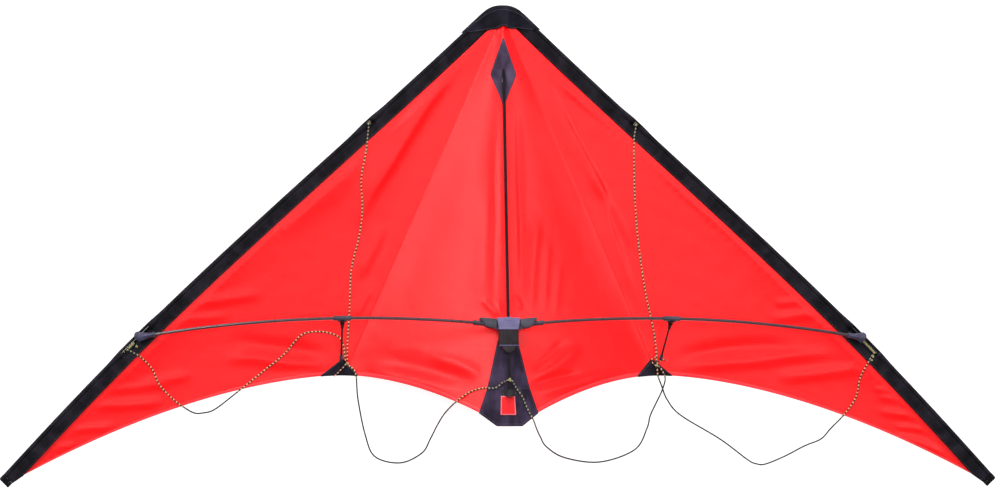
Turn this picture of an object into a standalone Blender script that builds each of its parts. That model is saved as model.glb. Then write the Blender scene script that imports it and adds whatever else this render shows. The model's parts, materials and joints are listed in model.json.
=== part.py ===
"""A pop-up stunt kite, 1.6 m across, lying on its back as it parks on the ground.

The front of the kite, with its spreaders and bridle, faces up (+Z). The nose points to +Y.
The kite rests on its nose patch and on the two patches where the stand-offs meet the sail.
A hub slides along the spine: pushed to the nose, it draws the spreaders in and the kite folds.
"""

import math

import bmesh
import bpy
from mathutils import Matrix, Vector

for old in list(bpy.data.objects):
    bpy.data.objects.remove(old)

MM = 0.001
GAP = 0.3 * MM                     # running and sewing gap between neighbouring solids

# Driving sizes of the sail, seen from the front
NOSE_Y = 389 * MM
SAIL_TOP_Y = 373 * MM              # where the two leading-edge seams would meet
TAIL_Y = -276 * MM                 # middle of the trailing edge, under the tail patch
TAIL_CORNER_X = 47.5 * MM
TAIL_CORNER_Y = -264 * MM
STANDOFF_X = 254 * MM              # trailing edge at the stand-off
STANDOFF_Y = -209 * MM
WING_TIP_X = 772 * MM              # where the trailing edge meets the leading-edge seam
WING_TIP_Y = -370 * MM
INNER_EDGE_POWER = 1.9
OUTER_EDGE_POWER = 1.724
EDGE_BOW = 13.6 * MM               # how far the bent leading edge stands out of its chord
EDGE_BOW_POWER = 1.6

# Heights above the floor
SEWN_TOP_Z = 7.6 * MM
TAIL_Z = 147 * MM
STANDOFF_Z = 3.85 * MM
WING_TIP_Z = 24 * MM
RIDGE_ROUND = 0.12                 # rounding of the ridge at the spine, as a share of STANDOFF_X
CREASE_ROUND = 4 * MM              # rounding of the valley at the stand-offs
RIDGE_REACH = 90 * MM              # how far out the sail follows the shape of its middle seam
EDGE_LIFT_POWER = 6
SAIL_THICK = 0.8 * MM

# Spine
ROD_R = 2.5 * MM
SPINE_TOP_Y = 376 * MM
SPINE_END_Y = -238 * MM
SPINE_TOP_Z = 4.2 * MM
SPINE_SLOPE = 0.2285

# Leading edge
SLEEVE_WIDTH = 23.6 * MM
SLEEVE_R = 4 * MM
SLEEVE_BORE_R = 2.8 * MM
FLANGE_THICK = 1.6 * MM
FLANGE_TAPER = 24 * MM             # length over which the flange grows from nothing at the nose
SLEEVE_OVERRUN = 21 * MM           # sleeve past the point of the sail
TIP_NARROWING = 4.5 * MM           # how much narrower the sleeve ends, on the sail's side
TIP_CAP_LENGTH = 10 * MM
EDGE_NOSE_Z = 5.6 * MM
EDGE_RISE = 18.4 * MM
EDGE_RISE_SHARE = 0.8              # the edge has risen at this share of its length
NOSE_PIVOT_X = 27 * MM
SADDLE_ALONG = 0.731               # place of the spreader's saddle, as a share of the edge
UPPER_KNOT_ALONG = 0.26            # place of the upper bridle leg
SADDLE_SLOT = (22 * MM, 38 * MM)   # opening in the sleeve before and after the saddle
SADDLE_ROOM = 1.5 * MM             # the spreader's end tilts over its saddle when the kite folds
KNOT_SLOT = (7 * MM, 7 * MM)

# Hub and spreaders
HUB_Y = -124 * MM
HUB_HALF_THICK = 8 * MM
HUB_PIVOT_X = 26 * MM
SPREADER_END = Vector((583 * MM, -147 * MM, 36.5 * MM))
SPREADER_MID = Vector((265 * MM, -115 * MM, 106 * MM))
KNUCKLE_R = 6.5 * MM
TONGUE_HALF = 3 * MM
FOLDED_EDGE_ANGLE = math.radians(8)  # leading edge to spine when the kite is folded

# Stand-offs
STANDOFF_ROD_R = 1.5 * MM
STANDOFF_BALL_R = 2 * MM
STANDOFF_STEM = 11 * MM
STANDOFF_FOOT = Vector((260 * MM, -184 * MM, 8.6 * MM))
FOLDED_SAIL_SHARE = 0.197          # width that the inner sail keeps when the kite is folded

# Bridle
CORD_R = 1.0 * MM


def clamp01(value):
    return max(0.0, min(1.0, value))


def ease(value):
    """Smooth step from 0 to 1."""
    t = clamp01(value)
    return t * t * (3 - 2 * t)


# The sail as a surface over the floor

def trailing_y(x):
    """Y of the trailing edge at a distance x from the middle of the kite."""
    if x < TAIL_CORNER_X:
        return TAIL_Y + (TAIL_CORNER_Y - TAIL_Y) * x / TAIL_CORNER_X
    if x < STANDOFF_X:
        share = (STANDOFF_X - x) / (STANDOFF_X - TAIL_CORNER_X)
        return STANDOFF_Y + (TAIL_CORNER_Y - STANDOFF_Y) * share ** INNER_EDGE_POWER
    share = (x - STANDOFF_X) / (WING_TIP_X - STANDOFF_X)
    return STANDOFF_Y + (WING_TIP_Y - STANDOFF_Y) * share ** OUTER_EDGE_POWER


def trailing_z(x):
    """Height of the trailing edge: a rounded ridge at the spine, a valley at the stand-off."""
    t = x / STANDOFF_X
    drop = (math.hypot(t, RIDGE_ROUND) - RIDGE_ROUND) / (math.hypot(1, RIDGE_ROUND) - RIDGE_ROUND)
    inner = TAIL_Z + (STANDOFF_Z - TAIL_Z) * drop
    outer = STANDOFF_Z + (WING_TIP_Z - STANDOFF_Z) * (x - STANDOFF_X) / (WING_TIP_X - STANDOFF_X)
    half = (inner - outer) / 2
    return (inner + outer) / 2 + math.hypot(half, CREASE_ROUND) - CREASE_ROUND


def spine_z(y):
    """Height of the spine's axis."""
    return SPINE_TOP_Z + SPINE_SLOPE * (SPINE_TOP_Y - y)


def seam_z(y):
    """Height of the sail's middle seam, which crosses the spine at the diamond patch."""
    down = SAIL_TOP_Y - y
    offset = 3.7 - 8.9 * ease((down / MM - 76) / 42)
    offset -= 7 * ease((down / MM - 118) / 140)
    offset += 7.2 * ease((down / MM - 520) / 80)
    return spine_z(y) + offset * MM


def edge_z(v):
    """Height of the leading edge's rod at a share v of its length."""
    return EDGE_NOSE_Z + EDGE_RISE * (1 - math.cos(math.pi * clamp01(v / EDGE_RISE_SHARE))) / 2


def ray_of(x, y):
    """Where the ray from the sail's top through a point meets the trailing edge: (x there, share)."""
    down = max(SAIL_TOP_Y - y, 1e-6)
    low, high = 0.0, WING_TIP_X * 1.08
    for _ in range(40):
        middle = (low + high) / 2
        if middle / (SAIL_TOP_Y - trailing_y(middle)) < x / down:
            low = middle
        else:
            high = middle
    return low, down / (SAIL_TOP_Y - trailing_y(low))


def sail_z(x, y):
    """Height of the sail's middle surface."""
    edge_x, v = ray_of(abs(x), y)
    z = SEWN_TOP_Z + v * (trailing_z(edge_x) - SEWN_TOP_Z)
    middle_share = (SAIL_TOP_Y - y) / (SAIL_TOP_Y - TAIL_Y)
    middle = SEWN_TOP_Z + middle_share * (TAIL_Z - SEWN_TOP_Z)
    z += math.exp(-(edge_x / RIDGE_REACH) ** 2) * (seam_z(y) - middle)
    lift = edge_z(v) - (SEWN_TOP_Z + v * (WING_TIP_Z - SEWN_TOP_Z))
    return z + min(1.0, edge_x / WING_TIP_X) ** EDGE_LIFT_POWER * lift


EDGE_CHORD = Vector((WING_TIP_X, WING_TIP_Y - SAIL_TOP_Y, 0))
EDGE_LENGTH = EDGE_CHORD.length
EDGE_DIR = EDGE_CHORD.normalized()
EDGE_OUT = Vector((-EDGE_DIR.y, EDGE_DIR.x, 0))      # away from the sail, in plan


def edge_bow(v):
    """How far the bent leading edge stands out of its chord; straight on past the sail's end."""
    bow = EDGE_BOW * math.sin(math.pi * clamp01(v) ** EDGE_BOW_POWER)
    return bow - EDGE_BOW * math.pi * EDGE_BOW_POWER * max(0.0, v - 1)


def edge_point(v, out=0.0, side=1):
    """A point on the right or left leading edge: share v along the seam, out from the seam."""
    bow = edge_bow(v)
    p = Vector((0, SAIL_TOP_Y, 0)) + EDGE_CHORD * v + EDGE_OUT * (bow + out)
    return Vector((p.x * side, p.y, edge_z(v)))


ROD_OUT = SLEEVE_WIDTH - SLEEVE_R                    # rod's axis, out from the seam
NOSE_V = (NOSE_PIVOT_X - EDGE_OUT.x * ROD_OUT) / EDGE_CHORD.x
END_V = 1 + SLEEVE_OVERRUN / EDGE_LENGTH
NOSE_PIVOT = edge_point(NOSE_V, ROD_OUT)


# Making objects

def material(name, colour, roughness, metallic=0.0):
    m = bpy.data.materials.new(name)
    m.use_nodes = True
    shader = m.node_tree.nodes["Principled BSDF"]
    shader.inputs["Base Color"].default_value = (*colour, 1)
    shader.inputs["Roughness"].default_value = roughness
    shader.inputs["Metallic"].default_value = metallic
    m.diffuse_color = (*colour, 1)
    return m


RED_CLOTH = material("red_ripstop", (0.85, 0.03, 0.025), 0.55)
BLACK_CLOTH = material("black_nylon", (0.02, 0.02, 0.028), 0.7)
BLACK_PLASTIC = material("black_plastic", (0.035, 0.035, 0.05), 0.45)
GREY_PLASTIC = material("grey_plastic", (0.09, 0.09, 0.12), 0.5)
FIBREGLASS = material("dark_fibreglass", (0.05, 0.045, 0.05), 0.3)
CORD = material("bridle_cord", (0.12, 0.12, 0.04), 0.8)
TAG = material("red_tag", (0.8, 0.02, 0.02), 0.6)


def finish(name, bm, skin, smooth_angle=40):
    """Turns a bmesh into a named, smooth-shaded object."""
    bmesh.ops.recalc_face_normals(bm, faces=bm.faces)
    mesh = bpy.data.meshes.new(name)
    bm.to_mesh(mesh)
    bm.free()
    mesh.materials.append(skin)
    obj = bpy.data.objects.new(name, mesh)
    bpy.context.scene.collection.objects.link(obj)
    mesh.shade_smooth()
    mesh.set_sharp_from_angle(angle=math.radians(smooth_angle))
    return obj


def tube(name, points, radius, skin, resolution=2):
    """A round rod or cord along a list of points."""
    curve = bpy.data.curves.new(name, "CURVE")
    curve.dimensions = "3D"
    curve.bevel_depth = radius
    curve.bevel_resolution = resolution
    curve.use_fill_caps = True
    spline = curve.splines.new("POLY")
    spline.points.add(len(points) - 1)
    for knot, p in zip(spline.points, points):
        knot.co = (*p, 1)
    curve.materials.append(skin)
    obj = bpy.data.objects.new(name, curve)
    bpy.context.scene.collection.objects.link(obj)
    return obj


def smooth_line(points, count):
    """Points evenly spread along a smooth curve through the given ones."""
    ends = [2 * points[0] - points[1], *points, 2 * points[-1] - points[-2]]
    fine = []
    for a, b, c, d in zip(ends, ends[1:], ends[2:], ends[3:]):
        for step in range(12):
            t = step / 12
            fine.append(0.5 * (2 * b + (c - a) * t + (2 * a - 5 * b + 4 * c - d) * t * t
                               + (3 * b - a - 3 * c + d) * t ** 3))
    fine.append(points[-1])
    spans = [0.0]
    for a, b in zip(fine, fine[1:]):
        spans.append(spans[-1] + (b - a).length)
    line, place = [], 0
    for step in range(count):
        want = spans[-1] * step / (count - 1)
        while place < len(spans) - 2 and spans[place + 1] < want:
            place += 1
        part = (want - spans[place]) / max(spans[place + 1] - spans[place], 1e-9)
        line.append(fine[place].lerp(fine[place + 1], min(1.0, part)))
    return line


def sweep(name, frames, outline_of, skin):
    """A solid swept along frames (point, across, up); outline_of(i) gives the section there."""
    bm = bmesh.new()
    rings = []
    for i, (p, across, up) in enumerate(frames):
        rings.append([bm.verts.new(p + across * a + up * b) for a, b in outline_of(i)])
    for low, high in zip(rings, rings[1:]):
        n = len(low)
        for k in range(n):
            bm.faces.new((low[k], low[(k + 1) % n], high[(k + 1) % n], high[k]))
    bm.faces.new(rings[0])
    bm.faces.new(reversed(rings[-1]))
    bmesh.ops.triangulate(bm, faces=[f for f in bm.faces if len(f.verts) > 4])
    return finish(name, bm, skin)


def prism(bm, outline, low, high, frame=Matrix.Identity(4)):
    """Adds an upright solid over a plan outline of (x, y) points, in a local frame."""
    rings = [[bm.verts.new(frame @ Vector((x, y, z))) for x, y in outline] for z in (low, high)]
    n = len(outline)
    faces = [bm.faces.new(rings[0][::-1]), bm.faces.new(rings[1])]
    for k in range(n):
        faces.append(bm.faces.new((rings[0][k], rings[0][(k + 1) % n],
                                   rings[1][(k + 1) % n], rings[1][k])))
    return faces


def arc(centre, radius, start, stop, steps):
    """Points on an arc, in degrees."""
    return [(centre[0] + radius * math.cos(math.radians(start + (stop - start) * i / steps)),
             centre[1] + radius * math.sin(math.radians(start + (stop - start) * i / steps)))
            for i in range(steps + 1)]


def cylinder(bm, start, stop, radius, sides=12, end_radius=None):
    """Adds a closed cylinder or cone between two points."""
    axis = stop - start
    turn = axis.to_track_quat("Z", "Y").to_matrix().to_4x4()
    made = bmesh.ops.create_cone(
        bm, cap_ends=True, segments=sides, radius1=radius,
        radius2=radius if end_radius is None else end_radius, depth=axis.length)
    bmesh.ops.transform(bm, matrix=Matrix.Translation((start + stop) / 2) @ turn, verts=made["verts"])


def boolean(obj, other, operation):
    """Cuts or joins another object and removes it."""
    modifier = obj.modifiers.new("shape", "BOOLEAN")
    modifier.operation = operation
    modifier.solver = "EXACT"
    modifier.object = other
    graph = bpy.context.evaluated_depsgraph_get()
    mesh = bpy.data.meshes.new_from_object(obj.evaluated_get(graph))
    obj.modifiers.clear()
    obj.data = mesh
    bpy.data.objects.remove(other)
    return obj


def cutter(bm_fill):
    """A throwaway object from a function that fills a bmesh."""
    bm = bmesh.new()
    bm_fill(bm)
    bmesh.ops.recalc_face_normals(bm, faces=bm.faces)
    mesh = bpy.data.meshes.new("cutter")
    bm.to_mesh(mesh)
    bm.free()
    obj = bpy.data.objects.new("cutter", mesh)
    bpy.context.scene.collection.objects.link(obj)
    return obj


def side_name(side):
    return "right" if side > 0 else "left"


def mirrored(p, side):
    return Vector((p.x * side, p.y, p.z))


# The sail and what is sewn to it

def sheet(name, rows, thickness, skin):
    """A closed sheet of cloth from rows of points on its middle surface."""
    bm = bmesh.new()
    half = Vector((0, 0, thickness / 2))
    layers = [[[bm.verts.new(p + half * k) for p in row] for row in rows] for k in (1, -1)]
    high, low = layers
    for i in range(len(rows) - 1):
        for j in range(len(rows[0]) - 1):
            bm.faces.new((high[i][j], high[i][j + 1], high[i + 1][j + 1], high[i + 1][j]))
            bm.faces.new((low[i][j], low[i + 1][j], low[i + 1][j + 1], low[i][j + 1]))
    rim_high = high[0] + [r[-1] for r in high[1:]] + high[-1][-2::-1] + [r[0] for r in high[-2:0:-1]]
    rim_low = low[0] + [r[-1] for r in low[1:]] + low[-1][-2::-1] + [r[0] for r in low[-2:0:-1]]
    n = len(rim_high)
    for k in range(n):
        bm.faces.new((rim_high[k], rim_low[k], rim_low[(k + 1) % n], rim_high[(k + 1) % n]))
    return finish(name, bm, skin)


SLOT_HALF = 3.2 * MM               # half the slot that the spine passes through
SLOT_TOP_Y = 301 * MM
SLOT_END_Y = 250 * MM
SLOT_BLEND = 110 * MM              # the cloth gives way to the slot up to here on the trailing edge
SAIL_FIRST_V = 0.03


def slot_half(y):
    """How far the sail's inner edge keeps from the middle, to leave the spine's slot."""
    if SLOT_END_Y < y < SLOT_TOP_Y:
        return SLOT_HALF
    return GAP / 2


def sail_point(v, edge_x, side=1):
    """Middle surface of the sail: share v down the ray from the top to the trailing edge."""
    u = edge_x / WING_TIP_X
    bow = edge_bow(v) * u * u - GAP * u
    x = v * edge_x + EDGE_OUT.x * bow
    y = SAIL_TOP_Y + v * (trailing_y(edge_x) - SAIL_TOP_Y) + EDGE_OUT.y * bow
    far = v * SLOT_BLEND
    if x < far:
        x = slot_half(y) + x * (far - slot_half(y)) / far
    return Vector((x * side, y, sail_z(x, y)))


# Across the patch under each stand-off, from its inner corner to its outer one, with its point in the middle
PATCH_COLUMNS = {1: [221, 230, 239, 248, 257, 263, 268, 273, 279], -1: [234, 243, 252, 261, 269, 275, 281, 287, 292]}


def sail_half(side):
    """One half of the sail, from the middle seam to the leading-edge seam."""
    columns = [0, 7, 14, 22, 32, 47.5, 75, 110, 150, 190, *PATCH_COLUMNS[side], 310, 360, 430, 510, 600, 690, 740, 772]
    shares = [SAIL_FIRST_V, 0.06, 0.1, 0.112, 0.122, 0.135, 0.15, 0.168, 0.188, 0.2, 0.24, 0.3, 0.4, 0.52, 0.64,
              0.74, 0.79, 0.815, 0.84, 0.865, 0.89, 0.92, 0.95, 0.975, 1.0]
    rows = [[sail_point(v, x * MM, side) for x in columns] for v in shares]
    return sheet("sail_" + side_name(side), rows, SAIL_THICK, RED_CLOTH)


def patch_rows(outline_left, outline_right, lift, across=8):
    """Rows of points on the sail between two side lines, lifted off the cloth."""
    rows = []
    for (x0, y0), (x1, y1) in zip(outline_left, outline_right):
        row = []
        for k in range(across + 1):
            t = k / across
            x, y = x0 + (x1 - x0) * t, y0 + (y1 - y0) * t
            row.append(Vector((x, y, sail_z(x, y) + lift)))
        rows.append(row)
    return rows


PATCH_THICK = 1.0 * MM
PATCH_LIFT = (SAIL_THICK + PATCH_THICK) / 2 + 2 * GAP


def diamond_patch():
    """The black diamond that the spine comes through, split by the spine's slot."""
    bm = bmesh.new()
    top_y, wide_y, bottom_y, half_wide = 338 * MM, 277 * MM, 225 * MM, 21 * MM
    levels = [top_y, 326 * MM, 313 * MM, SLOT_TOP_Y, 293 * MM, 285 * MM, wide_y, 268 * MM, 259 * MM,
              SLOT_END_Y, 241 * MM, 233 * MM, bottom_y]
    slot_edge = SLOT_HALF + 0.6 * MM
    lift = PATCH_LIFT + 3 * GAP

    def half_at(y):
        if y > wide_y:
            return max(1.2 * MM, half_wide * (top_y - y) / (top_y - wide_y))
        return max(1.2 * MM, half_wide * (y - bottom_y) / (wide_y - bottom_y))

    def across(y):
        half = half_at(y)
        inner = min(slot_edge, half * 0.4)
        right = [inner + (half - inner) * k / 3 for k in range(4)]
        return [-x for x in reversed(right)] + right

    layers = {}
    for i, y in enumerate(levels):
        for j, x in enumerate(across(y)):
            for k in (1, -1):
                layers[i, j, k] = bm.verts.new((x, y, sail_z(x, y) + lift + PATCH_THICK / 2 * k))
    middle = 3
    slot = {(i, middle) for i, y in enumerate(levels[:-1]) if SLOT_END_Y < y <= SLOT_TOP_Y}
    cells = {(i, j) for i in range(len(levels) - 1) for j in range(7)} - slot
    sides = {(-1, 0): (0, 0, 0, 1), (1, 0): (1, 0, 1, 1), (0, -1): (0, 0, 1, 0), (0, 1): (0, 1, 1, 1)}
    for i, j in cells:
        for k in (1, -1):
            corners = [layers[i, j, k], layers[i, j + 1, k], layers[i + 1, j + 1, k], layers[i + 1, j, k]]
            bm.faces.new(corners if k > 0 else corners[::-1])
        for (di, dj), (ai, aj, bi, bj) in sides.items():
            if (i + di, j + dj) not in cells:
                bm.faces.new((layers[i + ai, j + aj, 1], layers[i + bi, j + bj, 1],
                              layers[i + bi, j + bj, -1], layers[i + ai, j + aj, -1]))
    return finish("diamond_patch", bm, BLACK_CLOTH)


TAIL_PATCH_CORNERS = [(-150, 16), (-226, 34), (-266, 47.8), (-286, 20.7)]    # y and half width, mm


def tail_patch_half(y):
    """Half the width of the tail patch at a height of the sail."""
    for (y0, w0), (y1, w1) in zip(TAIL_PATCH_CORNERS, TAIL_PATCH_CORNERS[1:]):
        if y1 * MM <= y <= y0 * MM:
            return (w0 + (w1 - w0) * (y / MM - y0) / (y1 - y0)) * MM
    return 0.0


def tail_patch():
    """The black patch that carries the lower end of the spine."""
    levels = [-150, -160, -172, -184, -196, -211, -226, -239, -252, -266, -276, -286]
    right = []
    for y in levels:
        right.append((tail_patch_half(y * MM), y * MM))
    left = [(-x, y) for x, y in right]
    return sheet("tail_patch", patch_rows(left, right, PATCH_LIFT + GAP, 10), PATCH_THICK, BLACK_CLOTH)


def standoff_patch(side):
    """The black triangle folded round the trailing edge, which rests on the floor."""
    columns, apex_v = PATCH_COLUMNS[side], 0.955
    middle = columns[len(columns) // 2]
    inside = SAIL_THICK / 2 + GAP
    outside = inside + PATCH_THICK
    bm = bmesh.new()
    sections = []
    for column in columns:
        x = column * MM
        far = columns[-1] - middle if column > middle else middle - columns[0]
        rise = 1 - abs(column - middle) / far
        top = sail_point(1 - (1 - apex_v) * (0.1 + 0.9 * rise), x, side)
        edge = sail_point(1.0, x, side)
        section = [(top, 0, outside), (edge, GAP + PATCH_THICK, outside), (edge, GAP + PATCH_THICK, -outside),
                   (top, 0, -outside), (top, 0, -inside), (edge, GAP, -inside), (edge, GAP, inside), (top, 0, inside)]
        sections.append([bm.verts.new(p + Vector((0, -out, up))) for p, out, up in section])
    for low, high in zip(sections, sections[1:]):
        for k in range(8):
            bm.faces.new((low[k], low[(k + 1) % 8], high[(k + 1) % 8], high[k]))
    for ring in (sections[0], sections[-1]):
        for a, b in ((0, 1), (1, 2), (2, 3)):
            bm.faces.new((ring[a], ring[b], ring[7 - b], ring[7 - a]))
    return finish("standoff_patch_" + side_name(side), bm, BLACK_CLOTH)


def tail_tag():
    """A plain red tag sewn on the tail patch."""
    top, bottom, half = -242 * MM, -276 * MM, 13 * MM
    thick = 0.8 * MM
    lift = PATCH_LIFT + PATCH_THICK / 2 + 2.5 * GAP + thick / 2
    left = [(-half * (0.85 + 0.15 * k / 4), top + (bottom - top) * k / 4) for k in range(5)]
    right = [(-x, y) for x, y in left]
    return sheet("tail_tag", patch_rows(left, right, lift, 6), thick, TAG)


# The spine, its collar and its ends

SPINE_DIR = Vector((0, -1, SPINE_SLOPE)).normalized()      # towards the tail
SPINE_UP = Vector((0, SPINE_SLOPE, 1)).normalized()
HUB_CENTRE = Vector((0, HUB_Y, spine_z(HUB_Y)))


def hub_frame():
    """Local frame on the spine: X across, Y towards the tail, Z away from the sail."""
    m = Matrix((Vector((1, 0, 0)), SPINE_DIR, Vector((1, 0, 0)).cross(SPINE_DIR))).transposed().to_4x4()
    m[0][2], m[1][2], m[2][2] = SPINE_UP
    m.translation = HUB_CENTRE
    return m


def spine_point(y):
    return Vector((0, y, spine_z(y)))


def spine_parts():
    tube("spine_rod", [spine_point(SPINE_TOP_Y), spine_point(0), spine_point(SPINE_END_Y)],
         ROD_R, FIBREGLASS, 3)
    cap_start = spine_point(SPINE_END_Y) + SPINE_DIR * GAP
    bm = bmesh.new()
    cylinder(bm, cap_start, cap_start + SPINE_DIR * 5 * MM, 3.2 * MM)
    finish("spine_end_cap", bm, BLACK_PLASTIC)


def bored(obj, frame, radius, start, stop):
    """Bores a hole for the spine through a piece."""
    origin = frame.translation
    along = frame.col[1].to_3d()
    return boolean(obj, cutter(lambda c: cylinder(c, origin + along * start, origin + along * stop, radius, 16)),
                   "DIFFERENCE")


BORE_R = ROD_R + GAP
SOCKET_BORE_R = BORE_R + 0.15 * MM


def spine_collar():
    """The stop below the hub, fixed on the spine."""
    frame = hub_frame()
    top, bottom = 34.9 * MM, 46 * MM
    flange, waist, shoulder = top + 1.3 * MM, 10.8 * MM, top + 6 * MM
    bm = bmesh.new()
    outline = [(-15.6 * MM, top), (15.6 * MM, top), (15.2 * MM, flange), (waist, flange), (waist, shoulder),
               (5 * MM, bottom), (-5 * MM, bottom), (-waist, shoulder), (-waist, flange), (-15.2 * MM, flange)]
    prism(bm, outline, -5.6 * MM, 6.5 * MM, frame)
    obj = finish("spine_collar", bm, GREY_PLASTIC)
    return bored(obj, frame, BORE_R, top - 5 * MM, bottom + 5 * MM)


def tail_loop():
    """The webbing loop that holds the spine's lower end on the tail patch."""
    frame = hub_frame()
    at = (HUB_Y - SPINE_END_Y) / abs(SPINE_DIR.y)
    start, stop = at - 9 * MM, at + 4 * MM
    half, high = 8 * MM, 4.9 * MM
    bm = bmesh.new()
    prism(bm, [(-half, start), (half, start), (half * 1.1, stop), (-half * 1.1, stop)],
          -ROD_R - 0.35 * MM, high, frame)
    obj = finish("tail_loop", bm, BLACK_CLOTH)
    return bored(obj, frame, 3.2 * MM + GAP, start - 5 * MM, stop + 5 * MM)


def nose_patch():
    """The folded nose patch: two layers, closed along the top, open towards the sail."""
    wall, top_z = 1.2 * MM, 14.8 * MM
    out = SLEEVE_WIDTH + 0.4 * MM + wall
    corner_v = 0.064
    side_start = edge_point(0.03, out)
    side_end = edge_point(corner_v, out)
    half = [(0.0, NOSE_Y), (12 * MM, NOSE_Y - 0.8 * MM), (22 * MM, NOSE_Y - 4 * MM), (30 * MM, NOSE_Y - 9 * MM),
            (side_start.x, side_start.y), (side_end.x, side_end.y),
            (30 * MM, 347.5 * MM), (14 * MM, 350 * MM), (0.0, 354 * MM)]
    outline = half + [(-x, y) for x, y in reversed(half) if x > 0]
    bm = bmesh.new()
    prism(bm, outline[::-1], 0, top_z)
    obj = finish("nose_patch", bm, BLACK_CLOTH)
    start_in, end_in = edge_point(0.03, out - wall), edge_point(corner_v * 1.6, out - wall)
    cavity_half = [(0.0, NOSE_Y - 2 * MM), (12 * MM, NOSE_Y - 2.8 * MM), (21.5 * MM, NOSE_Y - 5.8 * MM),
                   (29.3 * MM, NOSE_Y - 10.6 * MM), (start_in.x, start_in.y), (end_in.x, end_in.y),
                   (70 * MM, 250 * MM), (0.0, 250 * MM)]
    cavity = cavity_half + [(-x, y) for x, y in reversed(cavity_half) if x > 0]
    return boolean(obj, cutter(lambda c: prism(c, cavity[::-1], wall, top_z - wall)), "DIFFERENCE")


# The leading edges

def edge_frames(start_v, stop_v, count, side):
    """Frames along the rod of a leading edge: point, across (outwards), up."""
    frames = []
    for i in range(count):
        v = start_v + (stop_v - start_v) * i / (count - 1)
        p = edge_point(v, ROD_OUT, side)
        ahead = edge_point(v + 0.004, ROD_OUT, side) - edge_point(v - 0.004, ROD_OUT, side)
        flat = Vector((ahead.x, ahead.y, 0)).normalized()
        frames.append((p, Vector((-flat.y, flat.x, 0)) * side, Vector((0, 0, 1))))
    return frames


def sleeve_outline(flange, radius=SLEEVE_R, thick=FLANGE_THICK):
    """Section of the sleeve: round over the rod, with a flat flange towards the sail."""
    half = thick / 2
    meet = math.degrees(math.asin(half / radius))
    points = [(radius * math.cos(math.radians(t)), radius * math.sin(math.radians(t)))
              for t in [-(180 - meet) + (360 - 2 * meet) * i / 12 for i in range(13)]]
    return points + [(-flange, half), (-flange, -half)]


SLEEVE_STATIONS = 22


def flange_at(v):
    """Flange width, which tapers away inside the nose patch and narrows past the sail's point."""
    along = (v - NOSE_V) * EDGE_LENGTH
    width = SLEEVE_R + 0.6 * MM + (ROD_OUT - SLEEVE_R - 0.6 * MM) * clamp01(along / FLANGE_TAPER)
    return width - TIP_NARROWING * clamp01((v - 1) / (END_V - 1))


def sleeve_stations():
    taper_v = NOSE_V + FLANGE_TAPER / EDGE_LENGTH
    rest = [taper_v + (1 - taper_v) * i / (SLEEVE_STATIONS - 3) for i in range(SLEEVE_STATIONS - 2)]
    return [NOSE_V, *rest, END_V]


def edge_sleeve(side):
    stations = sleeve_stations()
    frames = [edge_frames(v, v + 1e-6, 2, side)[0] for v in stations]
    obj = sweep("edge_sleeve_" + side_name(side), frames,
                lambda i: sleeve_outline(flange_at(stations[i])), BLACK_CLOTH)
    bore = edge_frames(NOSE_V - 0.01, END_V + 0.01, 40, side)
    hole = [(SLEEVE_BORE_R * math.cos(math.radians(30 * k)), SLEEVE_BORE_R * math.sin(math.radians(30 * k)))
            for k in range(12)]
    boolean(obj, sweep("cutter", bore, lambda i: hole, BLACK_CLOTH), "DIFFERENCE")
    for at, (before, after) in ((SADDLE_ALONG, SADDLE_SLOT), (UPPER_KNOT_ALONG, KNOT_SLOT)):
        frames = edge_frames(at - before / EDGE_LENGTH, at + after / EDGE_LENGTH, 4, side)
        reach = 6 * MM
        box = [(-SLEEVE_R - 0.2 * MM, -reach), (reach, -reach), (reach, reach), (-SLEEVE_R - 0.2 * MM, reach)]
        boolean(obj, sweep("cutter", frames, lambda i: box, BLACK_CLOTH), "DIFFERENCE")
    return obj


def edge_rod(side):
    points = [f[0] for f in edge_frames(NOSE_V + 0.001, END_V - 0.002, 26, side)]
    return tube("edge_rod_" + side_name(side), points, ROD_R, FIBREGLASS, 2)


def tip_cap(side):
    """The webbing end that closes the sleeve at the wing tip."""
    start = END_V + GAP / EDGE_LENGTH
    frames = edge_frames(start, start + TIP_CAP_LENGTH / EDGE_LENGTH, 3, side)
    return sweep("tip_cap_" + side_name(side), frames,
                 lambda i: sleeve_outline(ROD_OUT - TIP_NARROWING, SLEEVE_R + 0.3 * MM, FLANGE_THICK * 1.8), BLACK_CLOTH)


SADDLE_TOP = SPREADER_END.z - 5.6 * MM


def edge_saddle(side):
    """The moulded saddle clipped round the leading-edge rod, with a flat top for the spreader."""
    p, out, up = edge_frames(SADDLE_ALONG, SADDLE_ALONG + 1e-6, 2, side)[0]
    along = out.cross(up) * side
    frame = Matrix((out, along, up)).transposed().to_4x4()
    frame.translation = p
    bm = bmesh.new()
    half = 7.5 * MM
    outline = [(-9 * MM, -half), (3 * MM, -half), *arc((3 * MM, 0), half, -60, 60, 6), (3 * MM, half), (-9 * MM, half)]
    prism(bm, outline, -5.2 * MM, SADDLE_TOP - SADDLE_ROOM - p.z, frame)
    obj = finish("edge_saddle_" + side_name(side), bm, GREY_PLASTIC)
    boolean(obj, cutter(lambda c: cylinder(c, p - along * 20 * MM, p + along * 20 * MM, BORE_R, 16)), "DIFFERENCE")
    notch = [(-20 * MM, -12 * MM), (-SLEEVE_R - 0.1 * MM, -12 * MM), (-SLEEVE_R - 0.1 * MM, 12 * MM), (-20 * MM, 12 * MM)]
    half_slot = FLANGE_THICK / 2 + GAP
    return boolean(obj, cutter(lambda c: prism(c, notch, -half_slot, half_slot, frame)), "DIFFERENCE")


# Hub, spreaders and stand-offs, with the hinge axes that fold them

HUB_TRAVEL_GUESS = 0.3


def rotate_about(p, pivot, axis, angle):
    return Matrix.Rotation(angle, 4, axis) @ (p - pivot) + pivot


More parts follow.
